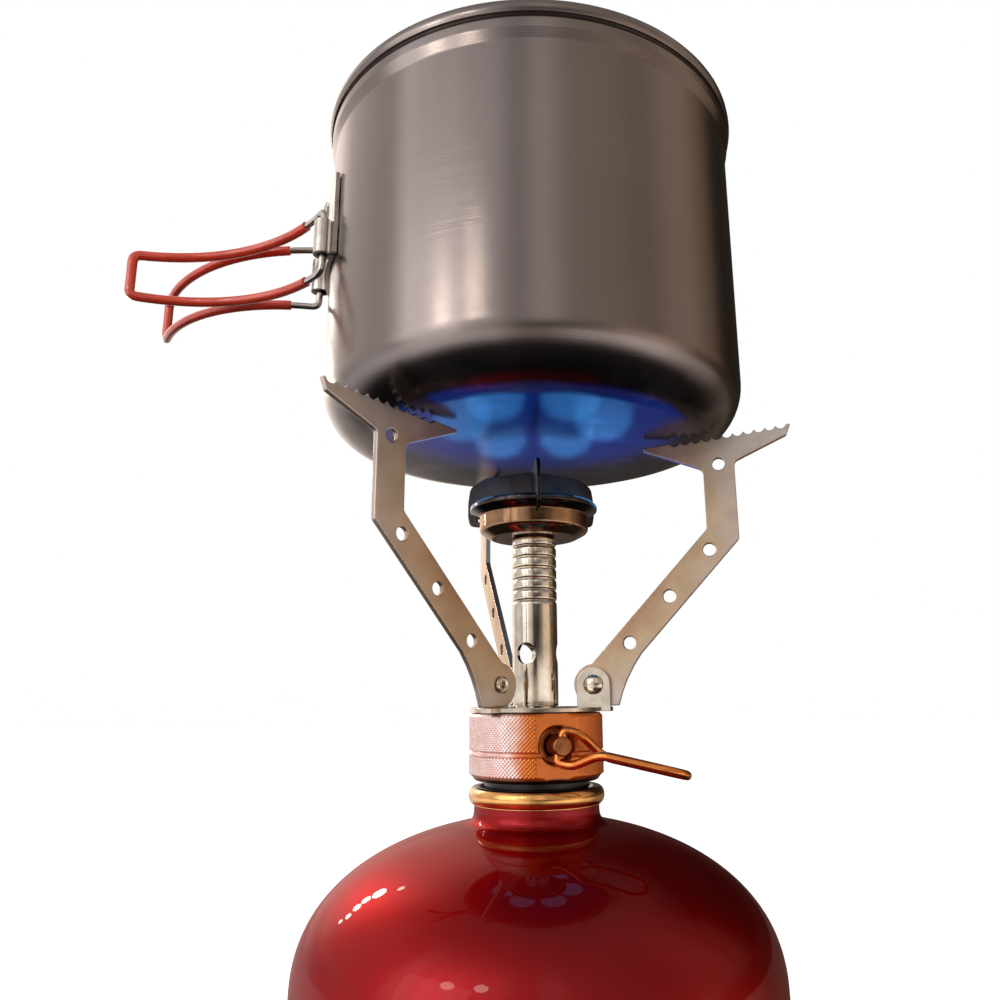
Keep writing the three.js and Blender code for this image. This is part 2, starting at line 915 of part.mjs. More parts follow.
// Three upright vanes that meet on the axis and hook under the flange.
function windClip() {
  const lip = 0.35;
  const vane = new THREE.Shape();
  vane.moveTo(-0.4, flangeTop + lip);
  vane.lineTo(flangeRadius + lip, flangeTop + lip);
  vane.lineTo(flangeRadius + lip, flangeBase - lip);
  vane.lineTo(flangeRadius - 1, flangeBase - lip - 0.6);
  vane.lineTo(flangeRadius - 0.4, flangeBase - 2);
  vane.quadraticCurveTo(vaneReach, flangeBase - 1.6, vaneReach, flangeBase + 1.2);
  vane.lineTo(vaneReach, flangeTop + 0.3 * vaneHeight);
  vane.quadraticCurveTo(vaneReach, flangeTop + vaneHeight, 0.75 * vaneReach, flangeTop + vaneHeight);
  vane.lineTo(-0.4, flangeTop + vaneHeight);
  vane.closePath();
  const blades = vaneAzimuths.map((azimuth) =>
    solid(sheet(vane, vaneThickness, 4).rotateX(Math.PI / 2).rotateZ(radians(azimuth))),
  );
  return geometryOf(blades.reduce((clip, blade) => clip.add(blade)));
}

function buildBurner(parent) {
  piece("stem_tube", stem(), nickel, parent);
  piece("burner_cup", burnerCup(), bronzeHeat, parent);
  piece("burner_screen", burnerScreen(), springSteel, parent);
  piece("burner_cap", burnerCap(), brass, parent);
  piece("wind_clip", windClip(), darkSteel, parent);
}

// -------------------------------------------------------------------------------------------- pot

const bracketBase = potBase + bracketAbovePotBase;
const bracketMiddle = bracketBase + bracketHeight / 2;
const bracketFace = potRadius + gap;
const bracketRivetZs = [bracketBase + 4, bracketBase + bracketHeight - 4];
const rivetRadius = 1.5;

function radialHole(radius, z) {
  return solid(levelRod(radius, potRadius - 6, potRadius + 8, bracketAzimuth, z, 12));
}

function potBody() {
  const steps = 4;
  const corner = (radius) =>
    Array.from({ length: steps + 1 }, (_, i) => {
      const angle = (Math.PI / 2) * (i / steps);
      return [
        potRadius - potCorner + radius * Math.sin(angle),
        potBase + potCorner - radius * Math.cos(angle),
      ];
    });
  const collarBase = potTop - collarHeight;
  const lipOut = potRadius + collarStep + lipRadius;
  const body = solid(
    turned(
      [
        [0, potBase],
        ...corner(potCorner),
        [potRadius, collarBase - collarStep],
        [potRadius + collarStep, collarBase],
        [potRadius + collarStep, potTop - 2 * lipRadius],
        [lipOut, potTop - 1.6 * lipRadius],
        [lipOut, potTop - 0.4 * lipRadius],
        [lipOut - 0.5 * lipRadius, potTop],
        [potRadius + collarStep - potWall, potTop],
        [potRadius + collarStep - potWall, collarBase],
        [potRadius - potWall, collarBase - collarStep],
        ...corner(potCorner - potWall).reverse(),
        [0, potBase + potWall],
      ],
      wideSides,
    ),
  );
  const holes = bracketRivetZs.map((z) => radialHole(rivetRadius + gap, z));
  return geometryOf(holes.reduce((made, hole) => made.subtract(hole), body));
}

const hingeRadius = potRadius + hingeStandoff;
const hingeAzimuths = {
  front: bracketAzimuth + hingeHalfAngle,
  rear: bracketAzimuth - hingeHalfAngle,
};
const hingeZ = bracketBase + hingeAboveBracketBase;
const barrelBore = wireRadius + gap;

// A curved strip that lies on the pot's wall, with a barrel rolled at each side for the handle's wire.
function handleBracket() {
  const inner = bracketFace;
  const outer = bracketFace + bracketSheet;
  const half = radians(bracketHalfAngle);
  const strip = new THREE.Shape();
  strip.absarc(0, 0, outer, -half, half);
  strip.absarc(0, 0, inner, half, -half, true);
  strip.closePath();
  let bracket = solid(
    sheet(strip, bracketHeight, 6)
      .translate(0, 0, bracketMiddle)
      .rotateZ(radians(bracketAzimuth)),
  );
  const barrelBase = hingeZ - barrelHeight / 2;
  const barrelTop = hingeZ + barrelHeight / 2;
  for (const azimuth of Object.values(hingeAzimuths)) {
    const place = (geometry) => solid(geometry.rotateZ(radians(azimuth)));
    const webDepth = hingeRadius - inner;
    const web = new THREE.BoxGeometry(webDepth, 2 * barrelBore, barrelHeight).translate(
      inner + webDepth / 2,
      0,
      hingeZ,
    );
    const shell = rod(barrelBore + barrelWall, barrelBase, barrelTop).translate(hingeRadius, 0, 0);
    const bore = rod(barrelBore, barrelBase - 1, barrelTop + 1).translate(hingeRadius, 0, 0);
    bracket = bracket.add(place(web)).add(place(shell)).subtract(place(bore));
  }
  for (const z of bracketRivetZs) bracket = bracket.subtract(radialHole(rivetRadius + gap, z));
  return geometryOf(bracket);
}

// A rivet from the inside of the pot's wall to the outside of the bracket, along Z from the stem axis.
function bracketRivet() {
  const inside = (potRadius - potWall) * Math.cos(Math.PI / wideSides) - gap;
  const outside = bracketFace + bracketSheet + gap;
  const head = 1.7 * rivetRadius;
  return turned(
    [
      [0, inside - 0.9],
      [0.7 * head, inside - 0.8],
      [head, inside],
      [rivetRadius, inside],
      [rivetRadius, outside],
      [head, outside],
      [0.7 * head, outside + 0.8],
      [0, outside + 0.9],
    ],
    smallSides,
  );
}

// One handle loop in its hinge's frame: X along the chord, Z up, with its two ends in the bracket's barrel.
// The loop bulges to the side given by 1 or -1 as it follows the pot's roundness when it is folded.
function loopPoints(side) {
  const upper = barrelHeight / 2 + wireAboveBarrel;
  const lower = -barrelHeight / 2 - wireBelowBarrel;
  const tip = lower + loopHeight;
  const arcRadius = (loopLength ** 2 / 4 + loopBulge ** 2) / (2 * loopBulge);
  const opening = Math.asin(loopLength / 2 / arcRadius);
  const steps = 7;
  const arc = (z0, z1) =>
    Array.from({ length: steps + 1 }, (_, i) => {
      const angle = opening * ((2 * i) / steps - 1);
      return new THREE.Vector3(
        loopLength / 2 + arcRadius * Math.sin(angle),
        side * (loopBulge - arcRadius * (1 - Math.cos(angle))),
        THREE.MathUtils.lerp(z0, z1, i / steps),
      );
    });
  return [
    new THREE.Vector3(0, 0, barrelHeight / 2 - wireEndDepth),
    ...arc(upper, tip),
    ...arc(lower, lower).reverse(),
    new THREE.Vector3(0, 0, -barrelHeight / 2 + wireEndDepth),
  ];
}

// The middle of a path, without a length at each end.
function trimmed(path, inset, steps) {
  const length = path.getLength();
  const points = Array.from({ length: steps + 1 }, (_, i) =>
    path.getPointAt(THREE.MathUtils.lerp(inset / length, 1 - inset / length, i / steps)),
  );
  return new THREE.CatmullRomCurve3(points);
}

function buildPot(parent) {
  const pot = new THREE.Group();
  parent.add(pot);
  piece("pot_body", potBody(), potAnodised, pot);
  piece("handle_bracket", handleBracket(), nickel, pot);
  bracketRivetZs.forEach((z, i) => {
    const place = new THREE.Group();
    place.position.z = z;
    place.rotation.set(0, Math.PI / 2, radians(bracketAzimuth), "ZYX");
    pot.add(place);
    piece(`bracket_rivet_${i ? "upper" : "lower"}`, bracketRivet(), nickel, place);
  });
  for (const [end, azimuth] of Object.entries(hingeAzimuths)) {
    const x = hingeRadius * Math.cos(radians(azimuth));
    const y = hingeRadius * Math.sin(radians(azimuth));
    const hinge = pivot(`pot_handle_${end}`, pot, x, y, hingeZ);
    const chord = new THREE.Group();
    chord.rotation.z = radians(loopSwing[end]);
    hinge.add(chord);
    // The two loops bulge towards each other when they stand out from the pot.
    const path = roundedPath(loopPoints(end === "front" ? -1 : 1), 2.4);
    piece(`handle_wire_${end}`, wire(path, wireRadius, 44), nickel, chord);
    const cover = trimmed(path, sleeveInset + barrelHeight, 34);
    const bore = wireRadius + gap;
    piece(`handle_sleeve_${end}`, wire(cover, bore + sleeveWall, 34, bore), redSilicone, chord);
  }
}

// --------------------------------------------------------------------------------------- assembly

const assembly = new THREE.Group();
buildCartridge(assembly);
buildValveBody(assembly);
buildValve(assembly);
buildArms(assembly);
buildBurner(assembly);
buildPot(assembly);

assembly.updateMatrixWorld(true);
const bounds = new THREE.Box3().setFromObject(assembly, true);
const middle = bounds.getCenter(new THREE.Vector3());
assembly.position.set(-middle.x, -middle.y, -bounds.min.z);

const stove = new THREE.Group();
stove.name = "camping_stove";
stove.add(assembly);

export default stove;
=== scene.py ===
"""The visible pieces of a camping stove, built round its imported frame.

Sizes are metres, in the frame's own coordinates: Z is up along the burner's stem and the cartridge stands on
Z = 0. The property groups hold the sizes and colours, and each operator makes one piece or a group of like pieces.
"""

import json
import math

import bmesh
import bpy
from bpy.props import FloatProperty, FloatVectorProperty, IntProperty, PointerProperty
from mathutils import Matrix, Vector


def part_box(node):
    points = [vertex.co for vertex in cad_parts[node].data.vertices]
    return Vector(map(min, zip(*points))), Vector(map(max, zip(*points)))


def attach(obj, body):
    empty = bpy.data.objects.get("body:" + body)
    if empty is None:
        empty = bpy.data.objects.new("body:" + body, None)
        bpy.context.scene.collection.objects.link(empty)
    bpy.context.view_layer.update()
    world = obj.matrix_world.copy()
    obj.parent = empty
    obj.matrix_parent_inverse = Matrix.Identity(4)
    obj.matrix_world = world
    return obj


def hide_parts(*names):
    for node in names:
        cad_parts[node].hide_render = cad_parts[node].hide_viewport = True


bl_info = {
    "name": "Camping Stove",
    "version": (1, 0, 0),
    "blender": (4, 5, 0),
    "location": "3D View > Sidebar > Stove",
    "description": "Builds the visible pieces of a camping stove round its frame",
    "category": "Add Mesh",
}

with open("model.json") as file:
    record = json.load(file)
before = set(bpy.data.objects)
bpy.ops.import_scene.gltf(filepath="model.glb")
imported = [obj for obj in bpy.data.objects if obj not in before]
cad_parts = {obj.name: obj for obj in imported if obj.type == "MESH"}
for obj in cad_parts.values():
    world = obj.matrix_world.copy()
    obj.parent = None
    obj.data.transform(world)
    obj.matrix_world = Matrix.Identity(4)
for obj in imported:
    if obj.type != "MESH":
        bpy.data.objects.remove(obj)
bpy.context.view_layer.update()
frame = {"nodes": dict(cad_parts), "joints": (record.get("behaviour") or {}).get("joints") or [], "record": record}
RECORD = frame["record"]
JOINTS = {joint["name"]: joint for joint in frame["joints"]}
BODY_OF = {node: body for body, nodes in RECORD["behaviour"]["bodies"].items() for node in nodes}

MM = 0.001
GAP = 0.25 * MM  # between faces that seat on each other
UP = Vector((0, 0, 1))
ROUND = 2 * math.pi


# ----------------------------------------------------------------------------- places from the frame


def bottom(node):
    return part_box(node)[0].z


def top(node):
    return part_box(node)[1].z


def half_width(node):
    low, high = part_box(node)
    return (high.x - low.x) / 2


def middle(node):
    low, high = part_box(node)
    return (low + high) / 2


STEM = Vector((middle("stem_tube").x, middle("stem_tube").y, 0))  # the foot of the stem's axis
VALVE = JOINTS["valve_turn"]
SPINDLE_AXIS = Vector(VALVE["axis"])
SPINDLE_Z = VALVE["pos_m"][2]


def columns(x, y, z, origin):
    """A placing matrix from its three axes and its origin."""
    matrix = Matrix((x, y, z)).transposed().to_4x4()
    matrix.translation = origin
    return matrix


def along_spindle():
    """Places a piece that is turned round Z along the valve spindle, Z outwards, from the stem's axis."""
    side = UP.cross(SPINDLE_AXIS)
    return columns(-UP, side, SPINDLE_AXIS, STEM + SPINDLE_Z * UP)


def at_bearing(azimuth, radius=0.0, height=0.0):
    """Places a piece whose X points outwards at a bearing from the stem's axis."""
    return (
        Matrix.Translation(STEM + height * UP)
        @ Matrix.Rotation(azimuth, 4, "Z")
        @ Matrix.Translation((radius, 0, 0))
    )


# --------------------------------------------------------------------------------- sizes and colours


def length(name, description, default):
    return FloatProperty(name=name, description=description, default=default, unit="LENGTH", precision=5)


def angle(name, description, degrees):
    return FloatProperty(name=name, description=description, default=math.radians(degrees), subtype="ANGLE")


def colour(name, description, *default):
    return FloatVectorProperty(
        name=name, description=description, default=default, subtype="COLOR", size=3, min=0, max=1
    )


class StoveCartridge(bpy.types.PropertyGroup):
    shoulder: length("Shoulder", "Height of the straight wall's top", 49 * MM)
    rise: length("Dome rise", "Height of the dome above the shoulder", 34.3 * MM)
    squareness: FloatProperty(
        name="Dome squareness", description="1 is an ellipse, less is fuller at the shoulder", default=0.86
    )
    neck: length("Neck radius", "Radius of the neck that the valve cup is crimped on", 14.9 * MM)
    neck_fillet: length("Neck fillet", "Radius between the neck and the dome", 3.4 * MM)
    wall: length("Wall", "Thickness of the tinplate", 0.8 * MM)
    rim: length("Base rim", "Width of the rolled rim that the cartridge stands on", 2.6 * MM)
    hollow: length("Base hollow", "Rise of the base's middle", 8 * MM)
    cup_height: length("Bead height", "Height of the valve cup's bead", 3.9 * MM)
    turret: length("Turret radius", "Radius of the threaded turret", 5.4 * MM)
    thread_pitch: length("Thread pitch", "Pitch of the turret's thread", 0.9 * MM)


class StoveValve(bpy.types.PropertyGroup):
    radius: length("Body radius", "Radius over the knurling", 16.25 * MM)
    groove: length("Groove height", "Middle of the groove between the knurled bands", 6.3 * MM)
    groove_width: length("Groove width", "Width of that groove", 1.3 * MM)
    groove_depth: length("Groove depth", "Depth of that groove", 0.9 * MM)
    knurl_pitch: length("Knurl pitch", "Distance between the knurl's crests", 0.95 * MM)
    knurl_depth: length("Knurl depth", "Depth of the knurl's valleys", 0.24 * MM)
    flat: length("Flat distance", "Distance of the milled flat from the axis", 15.3 * MM)
    recess: length("Recess radius", "Radius of the counterbore round the spindle", 4.2 * MM)
    recess_floor: length("Recess floor", "Distance of the counterbore's floor from the axis", 9 * MM)
    spindle: length("Spindle radius", "Radius of the spindle's outer end", 2.2 * MM)
    spindle_end: length("Spindle end", "Distance of the spindle's end from the stem's axis", 19.4 * MM)
    wire: length("Handle wire", "Radius of the handle's wire", 1.0 * MM)
    handle: length("Handle length", "Length of the wire handle", 28.5 * MM)
    handle_half: length("Handle half width", "Half the distance between the handle's two runs", 4.5 * MM)
    swing: angle("Handle swing", "Angle of the handle from the spindle", 62)


class StoveArms(bpy.types.PropertyGroup):
    thickness: length("Arm sheet", "Thickness of the arms", 1.5 * MM)
    tab_sheet: length("Plate sheet", "Thickness of the plate and its tabs", 1.0 * MM)
    tab: length("Tab width", "Width of each upright tab", 8.2 * MM)
    offset: length("Arm offset", "Distance of each arm's middle from the stem's axis", 2.16 * MM)
    rivet: length("Rivet head", "Radius of the rivets' domed heads", 2.4 * MM)
    pin: length("Rivet shank", "Radius of the rivets' shanks", 1.1 * MM)
    leg_angle: angle("Leg angle", "Slope of the legs from level", 47.3)
    leg: length("Leg length", "From the pivot to the bend", 48.4 * MM)
    leg_width: length("Leg width", "Width of the legs", 7.5 * MM)
    post_width: length("Post width", "Width of the posts", 7.7 * MM)
    post: length("Post height", "From the bend to the bearing edge", 25 * MM)
    bar_inner: length("Inner reach", "Bearing edge inwards from the post's middle", 18.5 * MM)
    bar_outer: length("Outer reach", "Bearing edge outwards from the post's middle", 17.9 * MM)
    bar_slope: angle("Bearing slope", "Rise of the bearing edge outwards", 5.5)
    tooth_pitch: length("Tooth pitch", "Distance between the teeth", 2.6 * MM)
    tooth_depth: length("Tooth depth", "Depth of the scallops", 0.9 * MM)
    teeth: IntProperty(name="Teeth", description="Number of teeth on each arm", default=11, min=1)
    hole: length("Hole radius", "Radius of the holes along the arms", 1.55 * MM)
    first_hole: length("First hole", "Distance of the first hole from the pivot", 13.3 * MM)
    hole_pitch: length("Hole pitch", "Distance between the holes", 15 * MM)


class StoveBurner(bpy.types.PropertyGroup):
    stem: length("Stem radius", "Radius of the mixing tube", 5.6 * MM)
    bore: length("Stem bore", "Bore of the mixing tube", 4.2 * MM)
    ring_start: length("Rings start", "Height of the ringed length above the arm plate", 25.4 * MM)
    ring_pitch: length("Ring pitch", "Distance between the stem's rings", 2.75 * MM)
    ring_depth: length("Ring depth", "Depth of the grooves between the rings", 0.5 * MM)
    rings: IntProperty(name="Rings", description="Number of rings on the stem", default=5, min=1)
    air_hole: length("Air hole", "Radius of the air holes", 2.6 * MM)
    air_height: length("Air hole height", "Height of the air holes above the arm plate", 12.8 * MM)
    air_azimuth: angle("Air hole bearing", "Bearing of the first air hole", -114)
    cup: length("Cup radius", "Radius of the burner cup's wall", 13.9 * MM)
    cup_lift: length("Cup lift", "Height of the cup's underside above its seat on the stem", 4.2 * MM)
    flange: length("Flange radius", "Radius of the burner cup's flange", 16.3 * MM)
    flange_height: length("Flange height", "Thickness of the flange", 2.0 * MM)
    ports: IntProperty(name="Flame slots", description="Slots round the flame cap", default=12, min=3)
    vane: length("Vane sheet", "Thickness of the wind clip", 0.9 * MM)
    vane_reach: length("Vane reach", "Reach of the vanes from the axis", 19.4 * MM)
    vane_azimuth: angle("Vane bearing", "Bearing of the first vane", 34)
    gauze_pitch: length("Gauze pitch", "Distance between the gauze's wires", 0.9 * MM)


class StovePot(bpy.types.PropertyGroup):
    radius: length("Pot radius", "Outer radius of the wall", 54 * MM)
    wall: length("Pot wall", "Thickness of the wall", 1.2 * MM)
    corner: length("Corner", "Radius of the base's corner", 13 * MM)
    collar: length("Collar height", "Height of the widened collar below the rim", 8 * MM)
    step: length("Collar step", "How far the collar stands out", 0.4 * MM)
    lip: length("Lip", "Half the thickness of the rolled lip", 1.1 * MM)
    bracket_azimuth: angle("Bracket bearing", "Bearing of the handle's bracket", 196)
    bracket_half: angle("Bracket half angle", "Half the angle that the bracket spans", 13)
    bracket_sheet: length("Bracket sheet", "Thickness of the bracket", 1.0 * MM)
    rivet: length("Bracket rivet", "Radius of the bracket's rivets", 1.5 * MM)
    barrel: length("Barrel height", "Height of the rolled barrels", 9 * MM)
    barrel_wall: length("Barrel wall", "Wall of the rolled barrels", 1.0 * MM)
    wire: length("Handle wire", "Radius of the handle's wire", 0.85 * MM)
    bore: length("Barrel bore", "Radius of the barrels' bore", 1.25 * MM)
    sleeve: length("Sleeve", "Outer radius of the silicone sleeve", 1.25 * MM)
    loop: length("Loop length", "Reach of each loop", 53.6 * MM)
    bulge: length("Loop bulge", "Bow of each loop out of its chord", 9.2 * MM)
    loop_height: length("Loop height", "Height of each loop at its tip", 11.5 * MM)
    above: length("Above the barrel", "Upper wire above the barrel", 3.3 * MM)
    below: length("Below the barrel", "Lower wire below the barrel", 4.4 * MM)
    bare: length("Bare wire", "Bare wire before the sleeve", 14 * MM)
    front_chord: angle("Front chord", "Bearing of the front loop's chord", 168)
    rear_chord: angle("Rear chord", "Bearing of the rear loop's chord", 157.9)


class StoveColours(bpy.types.PropertyGroup):
    lacquer: colour("Red lacquer", "Cartridge", 0.34, 0.006, 0.009)
    # Gold and both coppers: orange partly painted warm reflection, standing in for warm light reflected on the
    # metal.
    gold: colour("Gold lacquer", "Valve cup", 0.92, 0.46, 0.14)
    copper: colour("Copper anodising", "Valve body", 1.0, 0.25, 0.03)
    copper_wire: colour("Copper wire", "Valve handle", 0.96, 0.29, 0.06)
    aged: colour("Aged copper", "Valve spindle and its nut", 0.50, 0.19, 0.07)
    brass: colour("Brass", "Turned brass pieces", 0.76, 0.55, 0.25)
    nickel: colour("Nickel", "Stem, arm plate and rivets", 0.74, 0.66, 0.54)
    arm: colour("Arm steel", "Folding arms", 0.66, 0.57, 0.50)
    bronze: colour("Heated bronze", "Burner cup and flame cap", 0.46, 0.28, 0.16)
    scale: colour("Dark scale", "Wind clip and flange", 0.055, 0.042, 0.036)
    steel: colour("Bright steel", "Bracket and handle wires", 0.66, 0.63, 0.58)
    pot: colour("Pot anodising", "Pot", 0.25, 0.212, 0.200)
    silicone: colour("Red silicone", "Handle sleeves", 0.92, 0.075, 0.030)
    rubber: colour("Black rubber", "Seals", 0.02, 0.02, 0.02)
    acetal: colour("White acetal", "Cartridge valve housing", 0.78, 0.77, 0.72)


# -------------------------------------------------------------------------------------- mesh helpers


def mesh_object(name, verts, faces):
    mesh = bpy.data.meshes.new(name)
    mesh.from_pydata(verts, [], faces)
    mesh.update()
    made = bpy.data.objects.new(name, mesh)
    bpy.context.scene.collection.objects.link(made)
    return made


def rounded(points, closed=True, steps=4):
    """A flat outline with its corners rounded off: each point is (x, y) or (x, y, radius)."""
    made = []
    for i, point in enumerate(points):
        here = Vector(point[:2])
        radius = point[2] if len(point) > 2 else 0
        at_end = not closed and i in (0, len(points) - 1)
        if not radius or at_end:
            made.append(here)
            continue
        back = Vector(points[i - 1][:2]) - here
        ahead = Vector(points[(i + 1) % len(points)][:2]) - here
        reach = min(
            radius / math.tan(back.angle(ahead) / 2), 0.49 * back.length, 0.49 * ahead.length
        )
        start = here + back.normalized() * reach
        end = here + ahead.normalized() * reach
        for k in range(steps + 1):
            t = k / steps
            made.append((1 - t) ** 2 * start + 2 * t * (1 - t) * here + t**2 * end)
    return made


def ladder(radius, low, high, step):
    """Points up a straight wall, close enough together for a pattern to be pressed into it."""
    count = max(1, round((high - low) / step))
    return [(radius, low + (high - low) * i / count) for i in range(count + 1)]


def signed_area(points):
    return sum(a[0] * b[1] - b[0] * a[1] for a, b in zip(points, points[1:] + points[:1])) / 2


def turned(name, profile, sides=96, place=None):
    """A profile of (radius, height) points turned round Z. It ends on the axis twice, or closes itself."""
    profile = [tuple(p) for p in profile]
    if signed_area(profile) < 0:
        profile.reverse()
    tiny = 1e-9
    rings, verts, faces = [], [], []
    for radius, height in profile:
        count = 1 if radius < tiny else sides
        rings.append(range(len(verts), len(verts) + count))
        for j in range(count):
            turn = ROUND * j / sides
            verts.append((radius * math.cos(turn), radius * math.sin(turn), height))
    open_ended = len(rings[0]) == 1 and len(rings[-1]) == 1
    for a, b in zip(rings, rings[1:] if open_ended else rings[1:] + rings[:1]):
        for j in range(sides):
            k = (j + 1) % sides
            if len(a) == 1 and len(b) == 1:
                break
            if len(a) == 1:
                faces.append((a[0], b[k], b[j]))
            elif len(b) == 1:
                faces.append((a[j], a[k], b[0]))
            else:
                faces.append((a[j], a[k], b[k], b[j]))
    made = mesh_object(name, verts, faces)
    made.data.transform(place or Matrix.Translation(STEM))
    return made


def rod(name, radius, low, high, place=None, sides=64):
    return turned(name, [(0, low), (radius, low), (radius, high), (0, high)], sides, place)


def frames_along(path):
    """A position and two cross directions at each point of a path, without twist."""
    points = [Vector(p) for p in path]
    tangents = []
    for i in range(len(points)):
        before, after = points[max(i - 1, 0)], points[min(i + 1, len(points) - 1)]
        tangents.append((after - before).normalized())
    across = tangents[0].orthogonal().normalized()
    made = []
    for point, tangent in zip(points, tangents):
        across = (across - across.dot(tangent) * tangent).normalized()
        made.append((point, across, tangent.cross(across)))
    return made


def swept(name, path, section, sides=20, bore=0.0):
    """A round wire along a path, or a tube if it has a bore. section(share) is the radius along the path."""
    stations = frames_along(path)
    last = len(stations) - 1
    verts, rings = [], []

    def ring(station, radius):
        point, across, beside = station
        start = len(verts)
        for j in range(sides):
            turn = ROUND * j / sides
            verts.append(point + radius * (math.cos(turn) * across + math.sin(turn) * beside))
        rings.append(range(start, start + sides))

    for i, station in enumerate(stations):
        ring(station, section(i / last))
    if bore:
        for station in reversed(stations):
            ring(station, bore)
    faces = []
    pairs = list(zip(rings, rings[1:]))
    if bore:
        pairs.append((rings[-1], rings[0]))
    for a, b in pairs:
        for j in range(sides):
            k = (j + 1) % sides
            faces.append((a[j], a[k], b[k], b[j]))
    if not bore:
        faces.append(tuple(reversed(rings[0])))
        faces.append(tuple(rings[-1]))
    made = mesh_object(name, verts, faces)
    outwards(made.data)
    return made


def outwards(mesh):
    """Merges doubled points and turns every face outwards."""
    shape = bmesh.new()
    shape.from_mesh(mesh)
    bmesh.ops.remove_doubles(shape, verts=shape.verts, dist=1e-6)
    bmesh.ops.recalc_face_normals(shape, faces=shape.faces)
    shape.to_mesh(mesh)
    shape.free()


def cut_sheet(name, outlines, thickness, edge, place):
    """A flat sheet with eased edges, cut to an outline, pierced by the others and centred on its plane."""
    curve = bpy.data.curves.new(name, "CURVE")
    curve.dimensions = "2D"
    curve.fill_mode = "BOTH"
    curve.extrude = thickness / 2 - edge
    curve.bevel_depth = edge
    curve.bevel_resolution = 1
    curve.offset = -edge
    for outline in outlines:
        spline = curve.splines.new("POLY")
        spline.points.add(len(outline) - 1)
        for point, (x, y) in zip(spline.points, outline):
            point.co = (x, y, 0, 1)
        spline.use_cyclic_u = True
    flat = bpy.data.objects.new(name + "_flat", curve)
    bpy.context.scene.collection.objects.link(flat)
    graph = bpy.context.evaluated_depsgraph_get()
    mesh = bpy.data.meshes.new_from_object(flat.evaluated_get(graph))
    bpy.data.objects.remove(flat)
    mesh.name = name
    outwards(mesh)
    mesh.transform(place)
    made = bpy.data.objects.new(name, mesh)
    bpy.context.scene.collection.objects.link(made)
    return made


def circle(radius, x=0.0, y=0.0, sides=32):
    return [
        (x + radius * math.cos(ROUND * i / sides), y + radius * math.sin(ROUND * i / sides))
        for i in range(sides)
    ]


def settle(made):
    """Makes an object's modifiers part of its mesh."""
    graph = bpy.context.evaluated_depsgraph_get()
    mesh = bpy.data.meshes.new_from_object(made.evaluated_get(graph))
    made.modifiers.clear()
    made.data = mesh
    return made


def combine(made, *others, operation="DIFFERENCE"):
    """Cuts other solids from a piece, or joins them to it, and removes them."""
    for other in others:
        modifier = made.modifiers.new("combine", "BOOLEAN")
        modifier.operation = operation
        modifier.solver = "EXACT"
        modifier.object = other
    settle(made)
    for other in others:
        bpy.data.objects.remove(other)
    return made


def ease(made, width, limit=40, segments=2):
    """Rounds the edges that are sharper than a limit in degrees."""
    modifier = made.modifiers.new("ease", "BEVEL")
    modifier.width = width
    modifier.segments = segments
    modifier.limit_method = "ANGLE"
    modifier.angle_limit = math.radians(limit)
    return settle(made)


def fit(made, material, *nodes, sharp=35):
    """Gives a finished piece its material, and lets it stand for its nodes and move with their body."""
    mesh = made.data
    mesh.materials.clear()
    mesh.materials.append(material)
    mesh.shade_smooth()
    mesh.set_sharp_from_angle(angle=math.radians(sharp))
    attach(made, BODY_OF[nodes[0]])
    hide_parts(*nodes)
    return made


# ---------------------------------------------------------------------------------------- node trees


class Graph:
    """Adds nodes to a tree and links them by the names or numbers of their inputs."""

    def __init__(self, tree):
        self.tree = tree

    def node(self, kind, inputs=None, **settings):
        made = self.tree.nodes.new(kind)
        for key, value in settings.items():
            setattr(made, key, value)
        for key, value in (inputs or {}).items():
            if isinstance(value, bpy.types.NodeSocket):
                self.tree.links.new(value, made.inputs[key])
            else:
                made.inputs[key].default_value = value
        return made

    def math(self, operation, *values, clamp=False):
        made = self.node(
            "ShaderNodeMath", dict(enumerate(values)), operation=operation, use_clamp=clamp
        )
        return made.outputs[0]

    def vector(self, operation, *values):
        made = self.node("ShaderNodeVectorMath", dict(enumerate(values)), operation=operation)
        return made.outputs["Value" if operation in ("DOT_PRODUCT", "LENGTH") else "Vector"]

    def scaled(self, vector, factor):
        made = self.node("ShaderNodeVectorMath", {0: vector, "Scale": factor}, operation="SCALE")
        return made.outputs["Vector"]

    def axes(self, vector):
        return self.node("ShaderNodeSeparateXYZ", {0: vector}).outputs

    def join(self, x, y, z):
        return self.node("ShaderNodeCombineXYZ", {0: x, 1: y, 2: z}).outputs[0]

    def between(self, value, low, high):
        """0 below low, 1 above high and a smooth step from one to the other."""
        made = self.node(
            "ShaderNodeMapRange",
            {"Value": value, "From Min": low, "From Max": high},
            interpolation_type="SMOOTHSTEP",
        )
        return made.outputs["Result"]

    def mix(self, factor, first, second, blend="MIX"):
        made = self.node("ShaderNodeMix", {0: factor}, data_type="RGBA", blend_type=blend)
        for socket, value in ((made.inputs[6], first), (made.inputs[7], second)):
            if isinstance(value, bpy.types.NodeSocket):
                self.tree.links.new(value, socket)
            else:
                socket.default_value = value
        return made.outputs[2]


SOCKETS = {
    "value": "NodeSocketFloat",
    "whole": "NodeSocketInt",
    "vector": "NodeSocketVector",
    "colour": "NodeSocketColor",
    "material": "NodeSocketMaterial",
    "shape": "NodeSocketGeometry",
}


def new_tree(kind, name, inputs, outputs):
    """A node tree with named inputs and outputs: its graph, the inputs' sockets and its output node."""
    tree = bpy.data.node_groups.new(name, kind)
    for label, socket in inputs.items():
        tree.interface.new_socket(label, in_out="INPUT", socket_type=SOCKETS[socket])
    for label, socket in outputs.items():
        tree.interface.new_socket(label, in_out="OUTPUT", socket_type=SOCKETS[socket])
    graph = Graph(tree)
    return graph, graph.node("NodeGroupInput").outputs, graph.node("NodeGroupOutput")


def shape_tree(name, **inputs):
    wanted = {"Geometry": "shape", **inputs, "Material": "material"}
    return new_tree("GeometryNodeTree", name, wanted, {"Geometry": "shape"})


